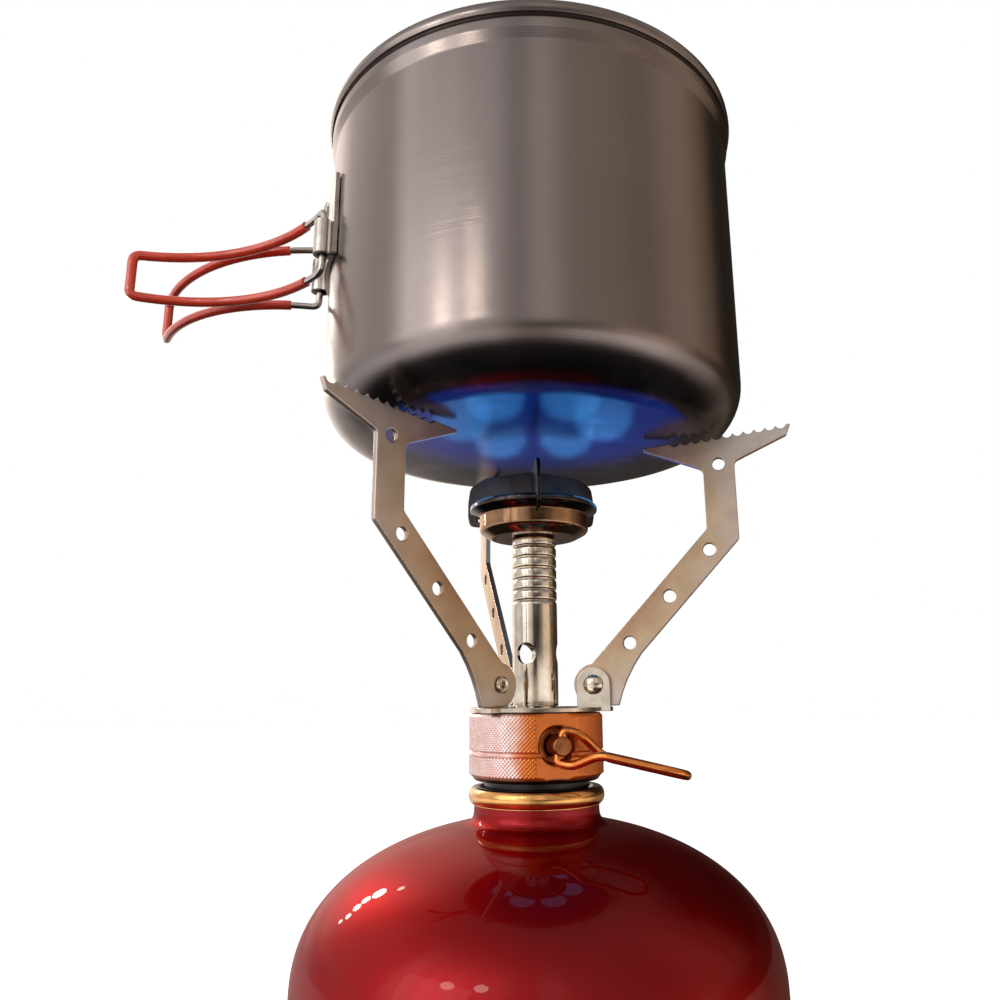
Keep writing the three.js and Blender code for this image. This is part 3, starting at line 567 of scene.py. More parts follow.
def close_tree(graph, given, result, output):
    """Ends a tree: real geometry with its material."""
    real = graph.node("GeometryNodeRealizeInstances", {"Geometry": result}).outputs[0]
    painted = graph.node("GeometryNodeSetMaterial", {"Geometry": real, "Material": given["Material"]})
    graph.tree.links.new(painted.outputs[0], output.inputs[0])
    return graph.tree


def shaped(made, tree, **values):
    """Runs a geometry tree on a piece and keeps the result as its mesh."""
    modifier = made.modifiers.new(tree.name, "NODES")
    modifier.node_group = tree
    for item in tree.interface.items_tree:
        key = item.name.replace(" ", "_").lower()
        if item.in_out == "INPUT" and key in values:
            modifier[item.identifier] = values[key]
    return settle(made)


def knurl_tree():
    """Presses a diamond knurl into a turned wall and mills a flat on it."""
    graph, given, output = shape_tree(
        "Knurled and milled",
        Centre="vector", Radius="value", Pitch="value", Depth="value",
        Flat_Normal="vector", Flat_Distance="value",
    )
    place = graph.vector("SUBTRACT", graph.node("GeometryNodeInputPosition").outputs[0], given["Centre"])
    x, y, z = graph.axes(place)[:3]
    reach = graph.vector("LENGTH", graph.join(x, y, 0.0))
    turn = graph.math("ARCTAN2", y, x)
    around = graph.math("DIVIDE", graph.math("MULTIPLY", given["Radius"], ROUND), given["Pitch"])
    column = graph.math("DIVIDE", graph.math("MULTIPLY", turn, graph.math("ROUND", around)), ROUND)
    row = graph.math("DIVIDE", z, given["Pitch"])
    half = 0.5
    ways = [graph.math("PINGPONG", graph.math(way, column, row), half) for way in ("ADD", "SUBTRACT")]
    crest = graph.math("MULTIPLY", graph.math("MINIMUM", *ways), 2.0)
    valley = graph.math("MULTIPLY", graph.math("SUBTRACT", crest, 1.0), given["Depth"])
    on_wall = graph.math("GREATER_THAN", reach, graph.math("SUBTRACT", given["Radius"], 0.01 * MM))
    depth = graph.math("MULTIPLY", valley, on_wall)
    outward = graph.vector("NORMALIZE", graph.join(x, y, 0.0))
    pressed = graph.node(
        "GeometryNodeSetPosition", {"Geometry": given["Geometry"], "Offset": graph.scaled(outward, depth)}
    ).outputs[0]
    again = graph.vector("SUBTRACT", graph.node("GeometryNodeInputPosition").outputs[0], given["Centre"])
    over = graph.math(
        "SUBTRACT", graph.vector("DOT_PRODUCT", again, given["Flat_Normal"]), given["Flat_Distance"]
    )
    back = graph.math("MULTIPLY", graph.math("MAXIMUM", over, 0.0), -1.0)
    milled = graph.node(
        "GeometryNodeSetPosition",
        {"Geometry": pressed, "Offset": graph.scaled(given["Flat_Normal"], back)},
    ).outputs[0]
    return close_tree(graph, given, milled, output)


def ring_tree():
    """Turns a row of rounded rings into the wall of a tube."""
    graph, given, output = shape_tree(
        "Ringed tube", Centre="vector", Start="value", Pitch="value", Count="value", Depth="value",
        Wall="value",
    )
    place = graph.vector("SUBTRACT", graph.node("GeometryNodeInputPosition").outputs[0], given["Centre"])
    x, y, z = graph.axes(place)[:3]
    flat = graph.join(x, y, 0.0)
    count = graph.math("DIVIDE", graph.math("SUBTRACT", z, given["Start"]), given["Pitch"])
    inside = graph.math(
        "MULTIPLY",
        graph.math("GREATER_THAN", count, -0.5),
        graph.math("LESS_THAN", count, graph.math("ADD", given["Count"], 0.5)),
    )
    on_wall = graph.math("GREATER_THAN", graph.vector("LENGTH", flat), given["Wall"])
    swell = graph.math("PINGPONG", count, 0.5)
    groove = graph.math("POWER", graph.math("SUBTRACT", 1.0, graph.math("MULTIPLY", swell, 2.0)), 5.0)
    dip = graph.math("MULTIPLY", graph.math("MULTIPLY", groove, given["Depth"]), -1.0)
    move = graph.math("MULTIPLY", dip, graph.math("MULTIPLY", inside, on_wall))
    offset = graph.scaled(graph.vector("NORMALIZE", flat), move)
    result = graph.node("GeometryNodeSetPosition", {"Geometry": given["Geometry"], "Offset": offset})
    return close_tree(graph, given, result.outputs[0], output)


def circle_tree():
    """Copies a piece round an upright axis."""
    graph, given, output = shape_tree("Copies round an axis", Centre="vector", Count="whole")
    marks = graph.node("GeometryNodePoints", {"Count": given["Count"], "Position": given["Centre"]})
    share = graph.math("DIVIDE", graph.node("GeometryNodeInputIndex").outputs[0], given["Count"])
    turn = graph.join(0.0, 0.0, graph.math("MULTIPLY", share, ROUND))
    shifted = graph.node(
        "GeometryNodeTransform",
        {"Geometry": given["Geometry"], "Translation": graph.scaled(given["Centre"], -1.0)},
    )
    copies = graph.node(
        "GeometryNodeInstanceOnPoints",
        {"Points": marks.outputs[0], "Instance": shifted.outputs[0], "Rotation": turn},
    )
    return close_tree(graph, given, copies.outputs[0], output)


def gauze_tree():
    """Weaves wires both ways across a disc: each wire rises and falls over the ones that it crosses."""
    graph, given, output = shape_tree(
        "Woven gauze", Centre="vector", Radius="value", Pitch="value", Wire="value"
    )
    count = graph.math("FLOOR", graph.math("DIVIDE", given["Radius"], given["Pitch"]))
    total = graph.math("ADD", graph.math("MULTIPLY", count, 2.0), 1.0)
    layers = []
    for turned_over in (False, True):
        marks = graph.node("GeometryNodePoints", {"Count": total})
        index = graph.math("SUBTRACT", graph.node("GeometryNodeInputIndex").outputs[0], count)
        aside = graph.math("MULTIPLY", index, given["Pitch"])
        placed = graph.node(
            "GeometryNodeSetPosition", {"Geometry": marks.outputs[0], "Position": graph.join(0.0, aside, 0.0)}
        )
        line = graph.node("GeometryNodeCurvePrimitiveLine")
        start = graph.join(graph.math("MULTIPLY", given["Radius"], -1.0), 0.0, 0.0)
        graph.tree.links.new(start, line.inputs[0])
        graph.tree.links.new(graph.join(given["Radius"], 0.0, 0.0), line.inputs[1])
        steps = graph.math("MULTIPLY", total, 3.0)
        fine = graph.node("GeometryNodeResampleCurve", {"Curve": line.outputs[0], "Count": steps})
        rows = graph.node(
            "GeometryNodeInstanceOnPoints", {"Points": placed.outputs[0], "Instance": fine.outputs[0]}
        )
        real = graph.node("GeometryNodeRealizeInstances", {"Geometry": rows.outputs[0]}).outputs[0]
        x, y, _ = graph.axes(graph.node("GeometryNodeInputPosition").outputs[0])[:3]
        across = graph.math("MULTIPLY", graph.math("DIVIDE", x, given["Pitch"]), math.pi)
        odd = graph.math("MULTIPLY", graph.math("DIVIDE", y, given["Pitch"]), math.pi)
        wave = graph.math("MULTIPLY", graph.math("COSINE", across), graph.math("COSINE", odd))
        swing = graph.math("MULTIPLY", given["Wire"], -1.0 if turned_over else 1.0)
        height = graph.math("MULTIPLY", wave, swing)
        limit = graph.math(
            "SQRT",
            graph.math(
                "MAXIMUM",
                graph.math("SUBTRACT", graph.math("POWER", given["Radius"], 2.0), graph.math("POWER", y, 2.0)),
                1e-8,
            ),
        )
        held = graph.math("MAXIMUM", graph.math("MINIMUM", x, limit), graph.math("MULTIPLY", limit, -1.0))
        woven = graph.node(
            "GeometryNodeSetPosition", {"Geometry": real, "Position": graph.join(held, y, height)}
        )
        spin = graph.node(
            "GeometryNodeTransform",
            {"Geometry": woven.outputs[0], "Rotation": (0, 0, math.pi / 2 if turned_over else 0)},
        )
        layers.append(spin.outputs[0])
    both = graph.node("GeometryNodeJoinGeometry")
    for layer in layers:
        graph.tree.links.new(layer, both.inputs[0])
    section = graph.node("GeometryNodeCurvePrimitiveCircle", {"Resolution": 6, "Radius": given["Wire"]})
    wires = graph.node(
        "GeometryNodeCurveToMesh",
        {"Curve": both.outputs[0], "Profile Curve": section.outputs[0], "Fill Caps": True},
    )
    moved = graph.node(
        "GeometryNodeTransform", {"Geometry": wires.outputs[0], "Translation": given["Centre"]}
    )
    return close_tree(graph, given, moved.outputs[0], output)


# ----------------------------------------------------------------------------------- shared surfaces


def surface_tree(name, inputs, outputs):
    return new_tree("ShaderNodeTree", name, inputs, outputs)


def object_place(graph):
    return graph.node("ShaderNodeTexCoord").outputs["Object"]


def noise(graph, vector, scale, detail=3.0, roughness=0.55):
    made = graph.node(
        "ShaderNodeTexNoise",
        {"Vector": vector, "Scale": scale, "Detail": detail, "Roughness": roughness},
    )
    return made.outputs["Fac"]


def uneven_group():
    """Cloudy changes of colour and gloss over a surface."""
    graph, given, output = surface_tree(
        "Uneven finish",
        {"Colour": "colour", "Second Colour": "colour", "Roughness": "value", "Spread": "value",
         "Scale": "value"},
        {"Colour": "colour", "Roughness": "value"},
    )
    place = object_place(graph)
    cloud = graph.between(noise(graph, place, given["Scale"], 4.0), 0.3, 0.7)
    graph.tree.links.new(graph.mix(cloud, given["Colour"], given["Second Colour"]), output.inputs[0])
    finer = graph.math("MULTIPLY", given["Scale"], 3.7)
    shift = graph.math("SUBTRACT", noise(graph, place, finer, 5.0, 0.65), 0.5)
    gloss = graph.math("ADD", given["Roughness"], graph.math("MULTIPLY", shift, given["Spread"]), clamp=True)
    graph.tree.links.new(gloss, output.inputs[1])
    return graph.tree


def spun_group():
    """Fine lines round a turned surface, as a height."""
    graph, given, output = surface_tree(
        "Spun lines", {"Centre": "vector", "Spacing": "value"}, {"Height": "value"}
    )
    place = graph.vector("SUBTRACT", object_place(graph), given["Centre"])
    x, y, z = graph.axes(place)[:3]
    reach = graph.vector("LENGTH", graph.join(x, y, 0.0))
    turn = graph.math("MULTIPLY", graph.math("ARCTAN2", y, x), 0.35)
    down = graph.math("DIVIDE", z, given["Spacing"])
    out = graph.math("DIVIDE", reach, given["Spacing"])
    lines = noise(graph, graph.join(down, out, turn), 1.0, 3.0, 0.7)
    graph.tree.links.new(lines, output.inputs[0])
    return graph.tree


def brushed_group():
    """Long scratches along one direction of a sheet, as a height and a mask."""
    graph, given, output = surface_tree(
        "Brushed lines", {"Along": "vector", "Spacing": "value", "Stretch": "value"},
        {"Height": "value", "Mask": "value"},
    )
    place = object_place(graph)
    run = graph.vector("DOT_PRODUCT", place, given["Along"])
    across = graph.vector("SUBTRACT", place, graph.scaled(given["Along"], run))
    kept = graph.scaled(given["Along"], graph.math("DIVIDE", run, given["Stretch"]))
    stretched = graph.vector("ADD", across, kept)
    lines = noise(graph, stretched, graph.math("DIVIDE", 1.0, given["Spacing"]), 3.0, 0.6)
    graph.tree.links.new(lines, output.inputs[0])
    graph.tree.links.new(graph.between(lines, 0.52, 0.68), output.inputs[1])
    return graph.tree


def wear_group():
    """Where edges stand out and rub bright, broken up by a fine noise."""
    graph, given, output = surface_tree(
        "Edge wear", {"Width": "value", "Amount": "value"}, {"Mask": "value"}
    )
    soft = graph.node("ShaderNodeBevel", {"Radius": given["Width"]}, samples=4).outputs[0]
    plain = graph.node("ShaderNodeNewGeometry").outputs["Normal"]
    turn = graph.math("SUBTRACT", 1.0, graph.vector("DOT_PRODUCT", soft, plain))
    edge = graph.between(turn, 0.01, 0.12)
    patchy = graph.between(noise(graph, object_place(graph), 900.0, 4.0, 0.7), 0.35, 0.6)
    mask = graph.math("MULTIPLY", graph.math("MULTIPLY", edge, patchy), given["Amount"], clamp=True)
    graph.tree.links.new(mask, output.inputs[0])
    return graph.tree


def heat_group():
    """The straw, purple and blue that steel takes near a flame, by distance from the flame's middle: heat tint
    together with painted blue and purple flame light.
    """
    graph, given, output = surface_tree(
        "Heat tint and flame glow", {"Colour": "colour", "Flame": "vector", "Reach": "value", "Strength": "value"},
        {"Colour": "colour"},
    )
    place = object_place(graph)
    away = graph.vector("LENGTH", graph.vector("SUBTRACT", place, given["Flame"]))
    ragged = graph.math("MULTIPLY", graph.math("SUBTRACT", noise(graph, place, 120.0), 0.5), 0.22)
    share = graph.math("ADD", graph.math("DIVIDE", away, given["Reach"]), ragged)
    ramp = graph.node("ShaderNodeValToRGB", {0: share})
    bands = [
        (0.0, (0.10, 0.12, 0.22, 1)), (0.30, (0.13, 0.09, 0.26, 1)), (0.48, (0.33, 0.13, 0.22, 1)),
        (0.66, (0.62, 0.34, 0.18, 1)), (0.84, (0.90, 0.74, 0.50, 1)), (1.0, (1, 1, 1, 1)),
    ]
    stops = ramp.color_ramp.elements
    stops[0].position, stops[0].color = bands[0]
    stops[1].position, stops[1].color = bands[-1]
    for position, shade in bands[1:-1]:
        stops.new(position).color = shade
    tint_and_glow = graph.mix(given["Strength"], given["Colour"], ramp.outputs[0], blend="MULTIPLY")
    graph.tree.links.new(tint_and_glow, output.inputs[0])
    return graph.tree


GROUP_MAKERS = {
    "Uneven finish": uneven_group, "Spun lines": spun_group, "Brushed lines": brushed_group,
    "Edge wear": wear_group, "Heat tint and flame glow": heat_group,
}


def group(graph, name, **inputs):
    """Places a shared surface effect in a material."""
    tree = bpy.data.node_groups.get(name) or GROUP_MAKERS[name]()
    wanted = {key.replace("_", " "): value for key, value in inputs.items()}
    made = graph.node("ShaderNodeGroup", node_tree=tree)
    for key, value in wanted.items():
        if isinstance(value, bpy.types.NodeSocket):
            graph.tree.links.new(value, made.inputs[key])
        else:
            made.inputs[key].default_value = value
    return made.outputs


# ----------------------------------------------------------------------------------------- materials


def opaque(shade, factor=1.0):
    """A colour with its alpha, darker or lighter by a factor."""
    return (*[min(1.0, channel * factor) for channel in shade], 1.0)


def new_material(name, **sockets):
    """A material whose even values are set on its shader's own sockets."""
    material = bpy.data.materials.new(f"{name}_finish")
    material.use_nodes = True
    shader = material.node_tree.nodes["Principled BSDF"]
    for key, value in sockets.items():
        shader.inputs[key.replace("_", " ")].default_value = value
    return material, Graph(material.node_tree), shader.inputs


def link(graph, source, target):
    graph.tree.links.new(source, target)


def bump(graph, target, height, distance, strength=1.0):
    made = graph.node("ShaderNodeBump", {"Height": height, "Distance": distance, "Strength": strength})
    link(graph, made.outputs[0], target)


def colours():
    return bpy.context.scene.stove_colours


def red_lacquer():
    shade = colours().lacquer
    material, graph, shader = new_material(
        "red_lacquer", Metallic=0.97, Coat_Weight=0.35, Coat_Roughness=0.03,
        Specular_Tint=(0.50, 0.03, 0.03, 1),
    )
    cloud = group(
        graph, "Uneven finish", Colour=opaque(shade), Second_Colour=opaque(shade, 0.86), Roughness=0.42,
        Spread=0.08, Scale=38.0,
    )
    wear = group(graph, "Edge wear", Width=0.35 * MM, Amount=0.35)
    link(graph, graph.mix(wear["Mask"], cloud["Colour"], (0.55, 0.45, 0.40, 1)), shader["Base Color"])
    link(graph, cloud["Roughness"], shader["Roughness"])
    peel = noise(graph, object_place(graph), 620.0, 2.0)
    bump(graph, shader["Normal"], peel, 0.02 * MM, 0.35)
    return material


def metal(name, shade, roughness, spread=0.12, darker=0.82, scale=260.0, spacing=0.12 * MM, depth=0.006,
          wear=0.0, **sockets):
    """A turned or drawn metal: cloudy tone, spun lines and rubbed edges."""
    material, graph, shader = new_material(name, Metallic=1.0, **sockets)
    cloud = group(
        graph, "Uneven finish", Colour=opaque(shade), Second_Colour=opaque(shade, darker),
        Roughness=roughness, Spread=spread, Scale=scale,
    )
    tone = cloud["Colour"]
    if wear:
        paler = group(graph, "Edge wear", Width=0.25 * MM, Amount=wear)
        tone = graph.mix(paler["Mask"], tone, opaque(shade, 1.5))
    link(graph, tone, shader["Base Color"])
    link(graph, cloud["Roughness"], shader["Roughness"])
    lines = group(graph, "Spun lines", Centre=STEM, Spacing=spacing)
    bump(graph, shader["Normal"], lines["Height"], depth * MM)
    return material


def gold_lacquer():
    """Gold lacquer whose orange is partly painted warm reflection, with painted shade in the gap under the valve
    body.
    """
    shade = colours().gold
    material, graph, shader = new_material("gold_lacquer", Metallic=1.0, Coat_Weight=0.5, Coat_Roughness=0.08)
    cloud = group(
        graph, "Uneven finish", Colour=opaque(shade), Second_Colour=opaque(shade, 0.78), Roughness=0.17,
        Spread=0.12, Scale=300.0,
    )
    # Painted shade: near-black mixed in where the gap under the valve body lies in shadow.
    link(graph, graph.mix(shaded_gap(graph), cloud["Colour"], (0.010, 0.006, 0.006, 1)), shader["Base Color"])
    link(graph, cloud["Roughness"], shader["Roughness"])
    lines = group(graph, "Spun lines", Centre=STEM, Spacing=0.12 * MM)
    bump(graph, shader["Normal"], lines["Height"], 0.006 * MM)
    return material


def shaded_gap(graph):
    """1 in the gap between the cartridge's bead and the valve body, where shade is painted near-black on the metal.
    """
    gap = bottom("valve_body")
    place = graph.vector("SUBTRACT", object_place(graph), STEM)
    x, y, z = graph.axes(place)[:3]
    reach = graph.vector("LENGTH", graph.join(x, y, 0.0))
    inside = graph.between(reach, 15.75 * MM, 15.2 * MM)
    above = graph.between(z, gap - 3.2 * MM, gap - 2.6 * MM)
    below = graph.between(z, gap + 1.5 * MM, gap + 0.9 * MM)
    return graph.math("MULTIPLY", inside, graph.math("MULTIPLY", above, below))


def copper_anodising():
    """Dyed anodising whose orange is partly painted warm reflection, with painted shade in the knurl's valleys and
    a painted pale highlight down one side.
    """
    valve = bpy.context.scene.stove_valve
    shade = colours().copper
    material, graph, shader = new_material(
        "copper_anodising", Metallic=0.7, Coat_Weight=0.4, Coat_Roughness=0.25
    )
    place = graph.vector("SUBTRACT", object_place(graph), STEM)
    x, y, _ = graph.axes(place)[:3]
    reach = graph.vector("LENGTH", graph.join(x, y, 0.0))
    # Painted highlight: the left side is paled to pinkish white in place of a bright reflection; paler is its mask.
    ragged = graph.math("MULTIPLY", graph.math("SUBTRACT", noise(graph, place, 160.0), 0.5), 5 * MM)
    paler = graph.between(graph.math("ADD", x, ragged), -1.5 * MM, -6.0 * MM)
    dye_and_highlight = graph.mix(paler, opaque(shade), (1.0, 0.82, 0.80, 1))
    dull_and_highlight = graph.mix(paler, opaque(shade, 0.85), (0.95, 0.62, 0.55, 1))
    cloud = group(
        graph, "Uneven finish", Colour=dye_and_highlight, Second_Colour=dull_and_highlight, Roughness=0.34, Spread=0.14, Scale=420.0
    )
    # Painted shade: the knurl's valleys are darker than its crests, less so on the painted highlight side.
    crest = graph.between(reach, valve.radius - valve.knurl_depth, valve.radius - 0.04 * MM)
    painted_valley_shade = graph.mix(graph.math("MULTIPLY_ADD", paler, -0.28, 0.45), cloud["Colour"], opaque(shade, 0.5))
    knurl = graph.mix(crest, painted_valley_shade, cloud["Colour"])
    # Painted shade: near-black in the gap under the body, over the knurl's colour.
    knurl = graph.mix(shaded_gap(graph), knurl, (0.010, 0.005, 0.004, 1))
    wear = group(graph, "Edge wear", Width=0.15 * MM, Amount=0.5)
    link(graph, graph.mix(wear["Mask"], knurl, (0.95, 0.62, 0.42, 1)), shader["Base Color"])
    link(graph, cloud["Roughness"], shader["Roughness"])
    lines = group(graph, "Spun lines", Centre=STEM, Spacing=0.09 * MM)
    bump(graph, shader["Normal"], lines["Height"], 0.008 * MM)
    return material


def copper_wire():
    # The handle's orange is partly painted warm reflection.
    return metal("copper_wire", colours().copper_wire, 0.26, 0.14, 0.75, 350.0, wear=0.3, Coat_Weight=0.4,
                 Coat_Roughness=0.15)


def aged_copper():
    return metal("aged_copper", colours().aged, 0.34, 0.2, 0.45, 420.0, wear=0.5)


def turned_brass():
    return metal("turned_brass", colours().brass, 0.28, wear=0.3)


def nickel():
    return metal("nickel", colours().nickel, 0.12, 0.10, 0.76, 240.0, 0.16 * MM, 0.003, wear=0.4)


def drawn_steel():
    return metal("drawn_steel", colours().steel, 0.32, 0.16, 0.72, 500.0)


def bright_steel():
    return metal("bright_steel", colours().steel, 0.22, 0.14, 0.78, 320.0, wear=0.4)


def bare_tinplate():
    return metal("bare_tinplate", colours().steel, 0.38, 0.2, 0.7, 90.0)


def flame_middle():
    return STEM + top("burner_cup") * UP


def arm_steel():
    """Brushed sheet with heat tint and painted flame light at the tips nearest the flame."""
    shade = colours().arm
    material, graph, shader = new_material("arm_steel", Metallic=0.92)
    cloud = group(
        graph, "Uneven finish", Colour=opaque(shade), Second_Colour=opaque(shade, 0.84), Roughness=0.40,
        Spread=0.16, Scale=140.0,
    )
    tint_and_glow = group(
        graph, "Heat tint and flame glow", Colour=cloud["Colour"], Flame=flame_middle(), Reach=52 * MM, Strength=0.85
    )
    wear = group(graph, "Edge wear", Width=0.25 * MM, Amount=0.7)
    link(graph, graph.mix(wear["Mask"], tint_and_glow["Colour"], opaque(shade, 1.5)), shader["Base Color"])
    link(graph, cloud["Roughness"], shader["Roughness"])
    lines = group(graph, "Brushed lines", Along=(0.0, 0.0, 1.0), Spacing=0.22 * MM, Stretch=14.0)
    bump(graph, shader["Normal"], lines["Height"], 0.010 * MM)
    return material


def heated(name, shade, roughness, strength, scaled_above=None):
    """Metal next to the flame: spun lines, soot, heat tints with painted flame light, and dark scale above a
    height.
    """
    material, graph, shader = new_material(name, Metallic=0.95)
    cloud = group(
        graph, "Uneven finish", Colour=opaque(shade), Second_Colour=opaque(shade, 0.6), Roughness=roughness,
        Spread=0.2, Scale=210.0,
    )
    tint_and_glow = group(
        graph, "Heat tint and flame glow", Colour=cloud["Colour"], Flame=flame_middle() + 8 * MM * UP, Reach=30 * MM,
        Strength=strength,
    )
    tone, paler = tint_and_glow["Colour"], opaque(shade, 1.9)
    if scaled_above is not None:
        height = graph.axes(object_place(graph))[2]
        scale = graph.between(height, scaled_above - 0.3 * MM, scaled_above + 0.3 * MM)
        tone = graph.mix(scale, tone, opaque(colours().scale))
        paler = graph.mix(scale, paler, opaque(colours().scale, 2.5))
    wear = group(graph, "Edge wear", Width=0.15 * MM, Amount=0.2)
    link(graph, graph.mix(wear["Mask"], tone, paler), shader["Base Color"])
    link(graph, cloud["Roughness"], shader["Roughness"])
    lines = group(graph, "Spun lines", Centre=STEM, Spacing=0.14 * MM)
    bump(graph, shader["Normal"], lines["Height"], 0.008 * MM)
    return material


def heated_bronze():
    flange = top("burner_cup") - bpy.context.scene.stove_burner.flange_height - 1 * MM
    return heated("heated_bronze", colours().bronze, 0.11, 0.3, flange)


def dark_scale():
    return heated("dark_scale", colours().scale, 0.36, 0.25)


def pot_anodising():
    """Hard anodising over spun aluminium, with the base darkened by the flame."""
    shade = colours().pot
    material, graph, shader = new_material("pot_anodising", Metallic=0.92)
    cloud = group(
        graph, "Uneven finish", Colour=opaque(shade), Second_Colour=opaque(shade, 0.93), Roughness=0.20,
        Spread=0.05, Scale=26.0,
    )
    place = graph.vector("SUBTRACT", object_place(graph), STEM)
    z = graph.axes(place)[2]
    soot = graph.between(z, bottom("pot_body") + 11 * MM, bottom("pot_body") + 2 * MM)
    patches = graph.between(noise(graph, place, 55.0, 5.0), 0.2, 0.55)
    ragged = graph.math("MULTIPLY", soot, patches, clamp=True)
    sooty = graph.mix(graph.math("MULTIPLY", ragged, 0.75), cloud["Colour"], (0.020, 0.018, 0.018, 1))
    wear = group(graph, "Edge wear", Width=0.3 * MM, Amount=0.25)
    link(graph, graph.mix(wear["Mask"], sooty, (0.45, 0.42, 0.40, 1)), shader["Base Color"])
    link(graph, cloud["Roughness"], shader["Roughness"])
    lines = group(graph, "Spun lines", Centre=STEM, Spacing=0.22 * MM)
    grain = noise(graph, place, 5200.0, 2.0)
    height = graph.math("ADD", lines["Height"], graph.math("MULTIPLY", grain, 0.22))
    bump(graph, shader["Normal"], height, 0.020 * MM)
    return material


def soft(name, shade, roughness, scale=700.0, depth=0.03, **sockets):
    """Rubber, silicone or moulded plastic: a faint pebbled skin and dusty patches."""
    material, graph, shader = new_material(name, **sockets)
    cloud = group(
        graph, "Uneven finish", Colour=opaque(shade), Second_Colour=opaque(shade, 0.78),
        Roughness=roughness, Spread=0.18, Scale=scale / 3,
    )
    link(graph, cloud["Colour"], shader["Base Color"])
    link(graph, cloud["Roughness"], shader["Roughness"])
    bump(graph, shader["Normal"], noise(graph, object_place(graph), scale, 3.0), depth * MM, 0.5)
    return material


def red_silicone():
    return soft("red_silicone", colours().silicone, 0.24, 800.0, 0.015, Coat_Weight=0.9, Coat_Roughness=0.07)


def black_rubber():
    return soft("black_rubber", colours().rubber, 0.55)


def white_acetal():
    return soft("white_acetal", colours().acetal, 0.4)


def made_once(maker):
    """The material that a maker makes, made on first use. The frame's own materials have plain names."""
    return bpy.data.materials.get(f"{maker.__name__}_finish") or maker()


# ----------------------------------------------------------------------------------------- operators


class StoveOperator:
    bl_options = {"REGISTER", "UNDO"}

    def execute(self, context):
        self.make(context.scene)
        return {"FINISHED"}


class STOVE_OT_cartridge(StoveOperator, bpy.types.Operator):
    """Makes the domed shell, the rolled base and the crimped valve cup"""

    bl_idname = "stove.cartridge"
    bl_label = "Cartridge"

    def make(self, scene):
        sizes = scene.stove_cartridge
        red = made_once(red_lacquer)
        fit(self.shell(sizes), red, "cartridge_shell")
        fit(self.base(sizes), made_once(bare_tinplate), "cartridge_base")
        fit(self.cup(sizes), made_once(gold_lacquer), "cartridge_valve_cup")

    def dome(self, sizes, inset, steps=36):
        """Points down the dome, from clear of the neck's fillet to the shoulder."""
        radius = half_width("cartridge_shell") - inset
        start = math.asin((sizes.neck - inset + 1.6 * sizes.neck_fillet) / radius)
        points = []
        for i in range(steps + 1):
            turn = start + (math.pi / 2 - start) * i / steps
            rise = (sizes.rise - inset) * max(0.0, math.cos(turn)) ** sizes.squareness
            points.append((radius * math.sin(turn), sizes.shoulder + rise))
        return points

    def shell(self, sizes):
        radius = half_width("cartridge_shell")
        crown, foot = top("cartridge_shell"), bottom("cartridge_shell")
        walls = []
        for inset in (0.0, sizes.wall):
            neck = sizes.neck - inset
            turn = math.asin(neck / (radius - inset))
            meet = sizes.shoulder + (sizes.rise - inset) * math.cos(turn) ** sizes.squareness
            walls.append(
                [(neck, crown), (neck, meet, sizes.neck_fillet), *self.dome(sizes, inset),
                 (radius - inset, foot + 1.5 * MM), (radius - inset, foot)]
            )
        outer, inner = walls
        profile = rounded(outer, closed=False, steps=8) + rounded(inner, closed=False, steps=8)[::-1]
        return turned("domed_shell", profile, 160)

    def base(self, sizes):
        radius = half_width("cartridge_base")
        rim, foot = sizes.rim, bottom("cartridge_shell") - GAP
        inner = radius - rim
        shares = [i / 12 for i in range(13)]
        crown = [((inner - 4 * MM) * share, foot + sizes.hollow * (1 - share**2)) for share in shares]
        above = [(r, z + 1 * MM) for r, z in crown]
        spigot = radius - sizes.wall - GAP
        profile = [
            *crown, (inner, 0.4 * MM, 0.5 * MM), (inner + 0.5 * MM, 0, 0.5 * MM), (radius - 0.6 * MM, 0, 0.6 * MM),
            (radius, 0.9 * MM, 0.6 * MM), (radius, foot, 0.3 * MM), (spigot, foot), (spigot, 2 * foot, 0.3 * MM),
            (spigot - 1 * MM, 2 * foot, 0.3 * MM), (inner - 3 * MM, foot + 1 * MM, 0.4 * MM), *above[::-1],
        ]
        return turned("rolled_base", rounded(profile, closed=False), 160)

    def cup(self, sizes):
        bead = half_width("cartridge_valve_cup")
        crown = bottom("valve_body") - 1.5 * MM
        floor = bottom("cartridge_valve_cup")
        foot = crown - sizes.cup_height
        outlet = top("cartridge_valve_cup")
        inside = sizes.neck - sizes.wall - GAP
        channel = sizes.neck + 0.4 * MM
        turret = sizes.turret
        pin = 1.2 * MM + GAP
        deep, half = 1.3 * MM, sizes.cup_height / 2
        bulge = []
        for i in range(-6, 7):
            turn = math.radians(15 * i)
            bulge.append((bead - deep * (1 - math.cos(turn)), foot + half * (1 + math.sin(turn))))
        threads = []
        turns = int((outlet - floor - 4.4 * MM) / sizes.thread_pitch)
        for i in range(turns):
            z = floor + 3 * MM + i * sizes.thread_pitch
            threads += [(turret - 0.3 * MM, z), (turret, z + sizes.thread_pitch / 2)]
        profile = [
            (channel, foot), *bulge, (inside - 0.3 * MM, crown, 0.6 * MM),
            (inside - 1.2 * MM, crown - 1.2 * MM, 0.6 * MM),
            (inside - 1.2 * MM, floor + 1 * MM, 0.8 * MM), (turret, floor + 1 * MM, 0.5 * MM), *threads,
            (turret, outlet, 0.5 * MM), (pin, outlet), (pin, outlet - 1 * MM),
            (turret - 1 * MM, outlet - 1 * MM, 0.4 * MM), (turret - 1 * MM, floor, 0.5 * MM),
            (inside, floor, 0.5 * MM), (inside, crown - 0.8 * MM, 0.3 * MM), (channel, crown - 0.8 * MM, 0.3 * MM),
        ]
        return turned("crimped_cup", rounded(profile), 128)


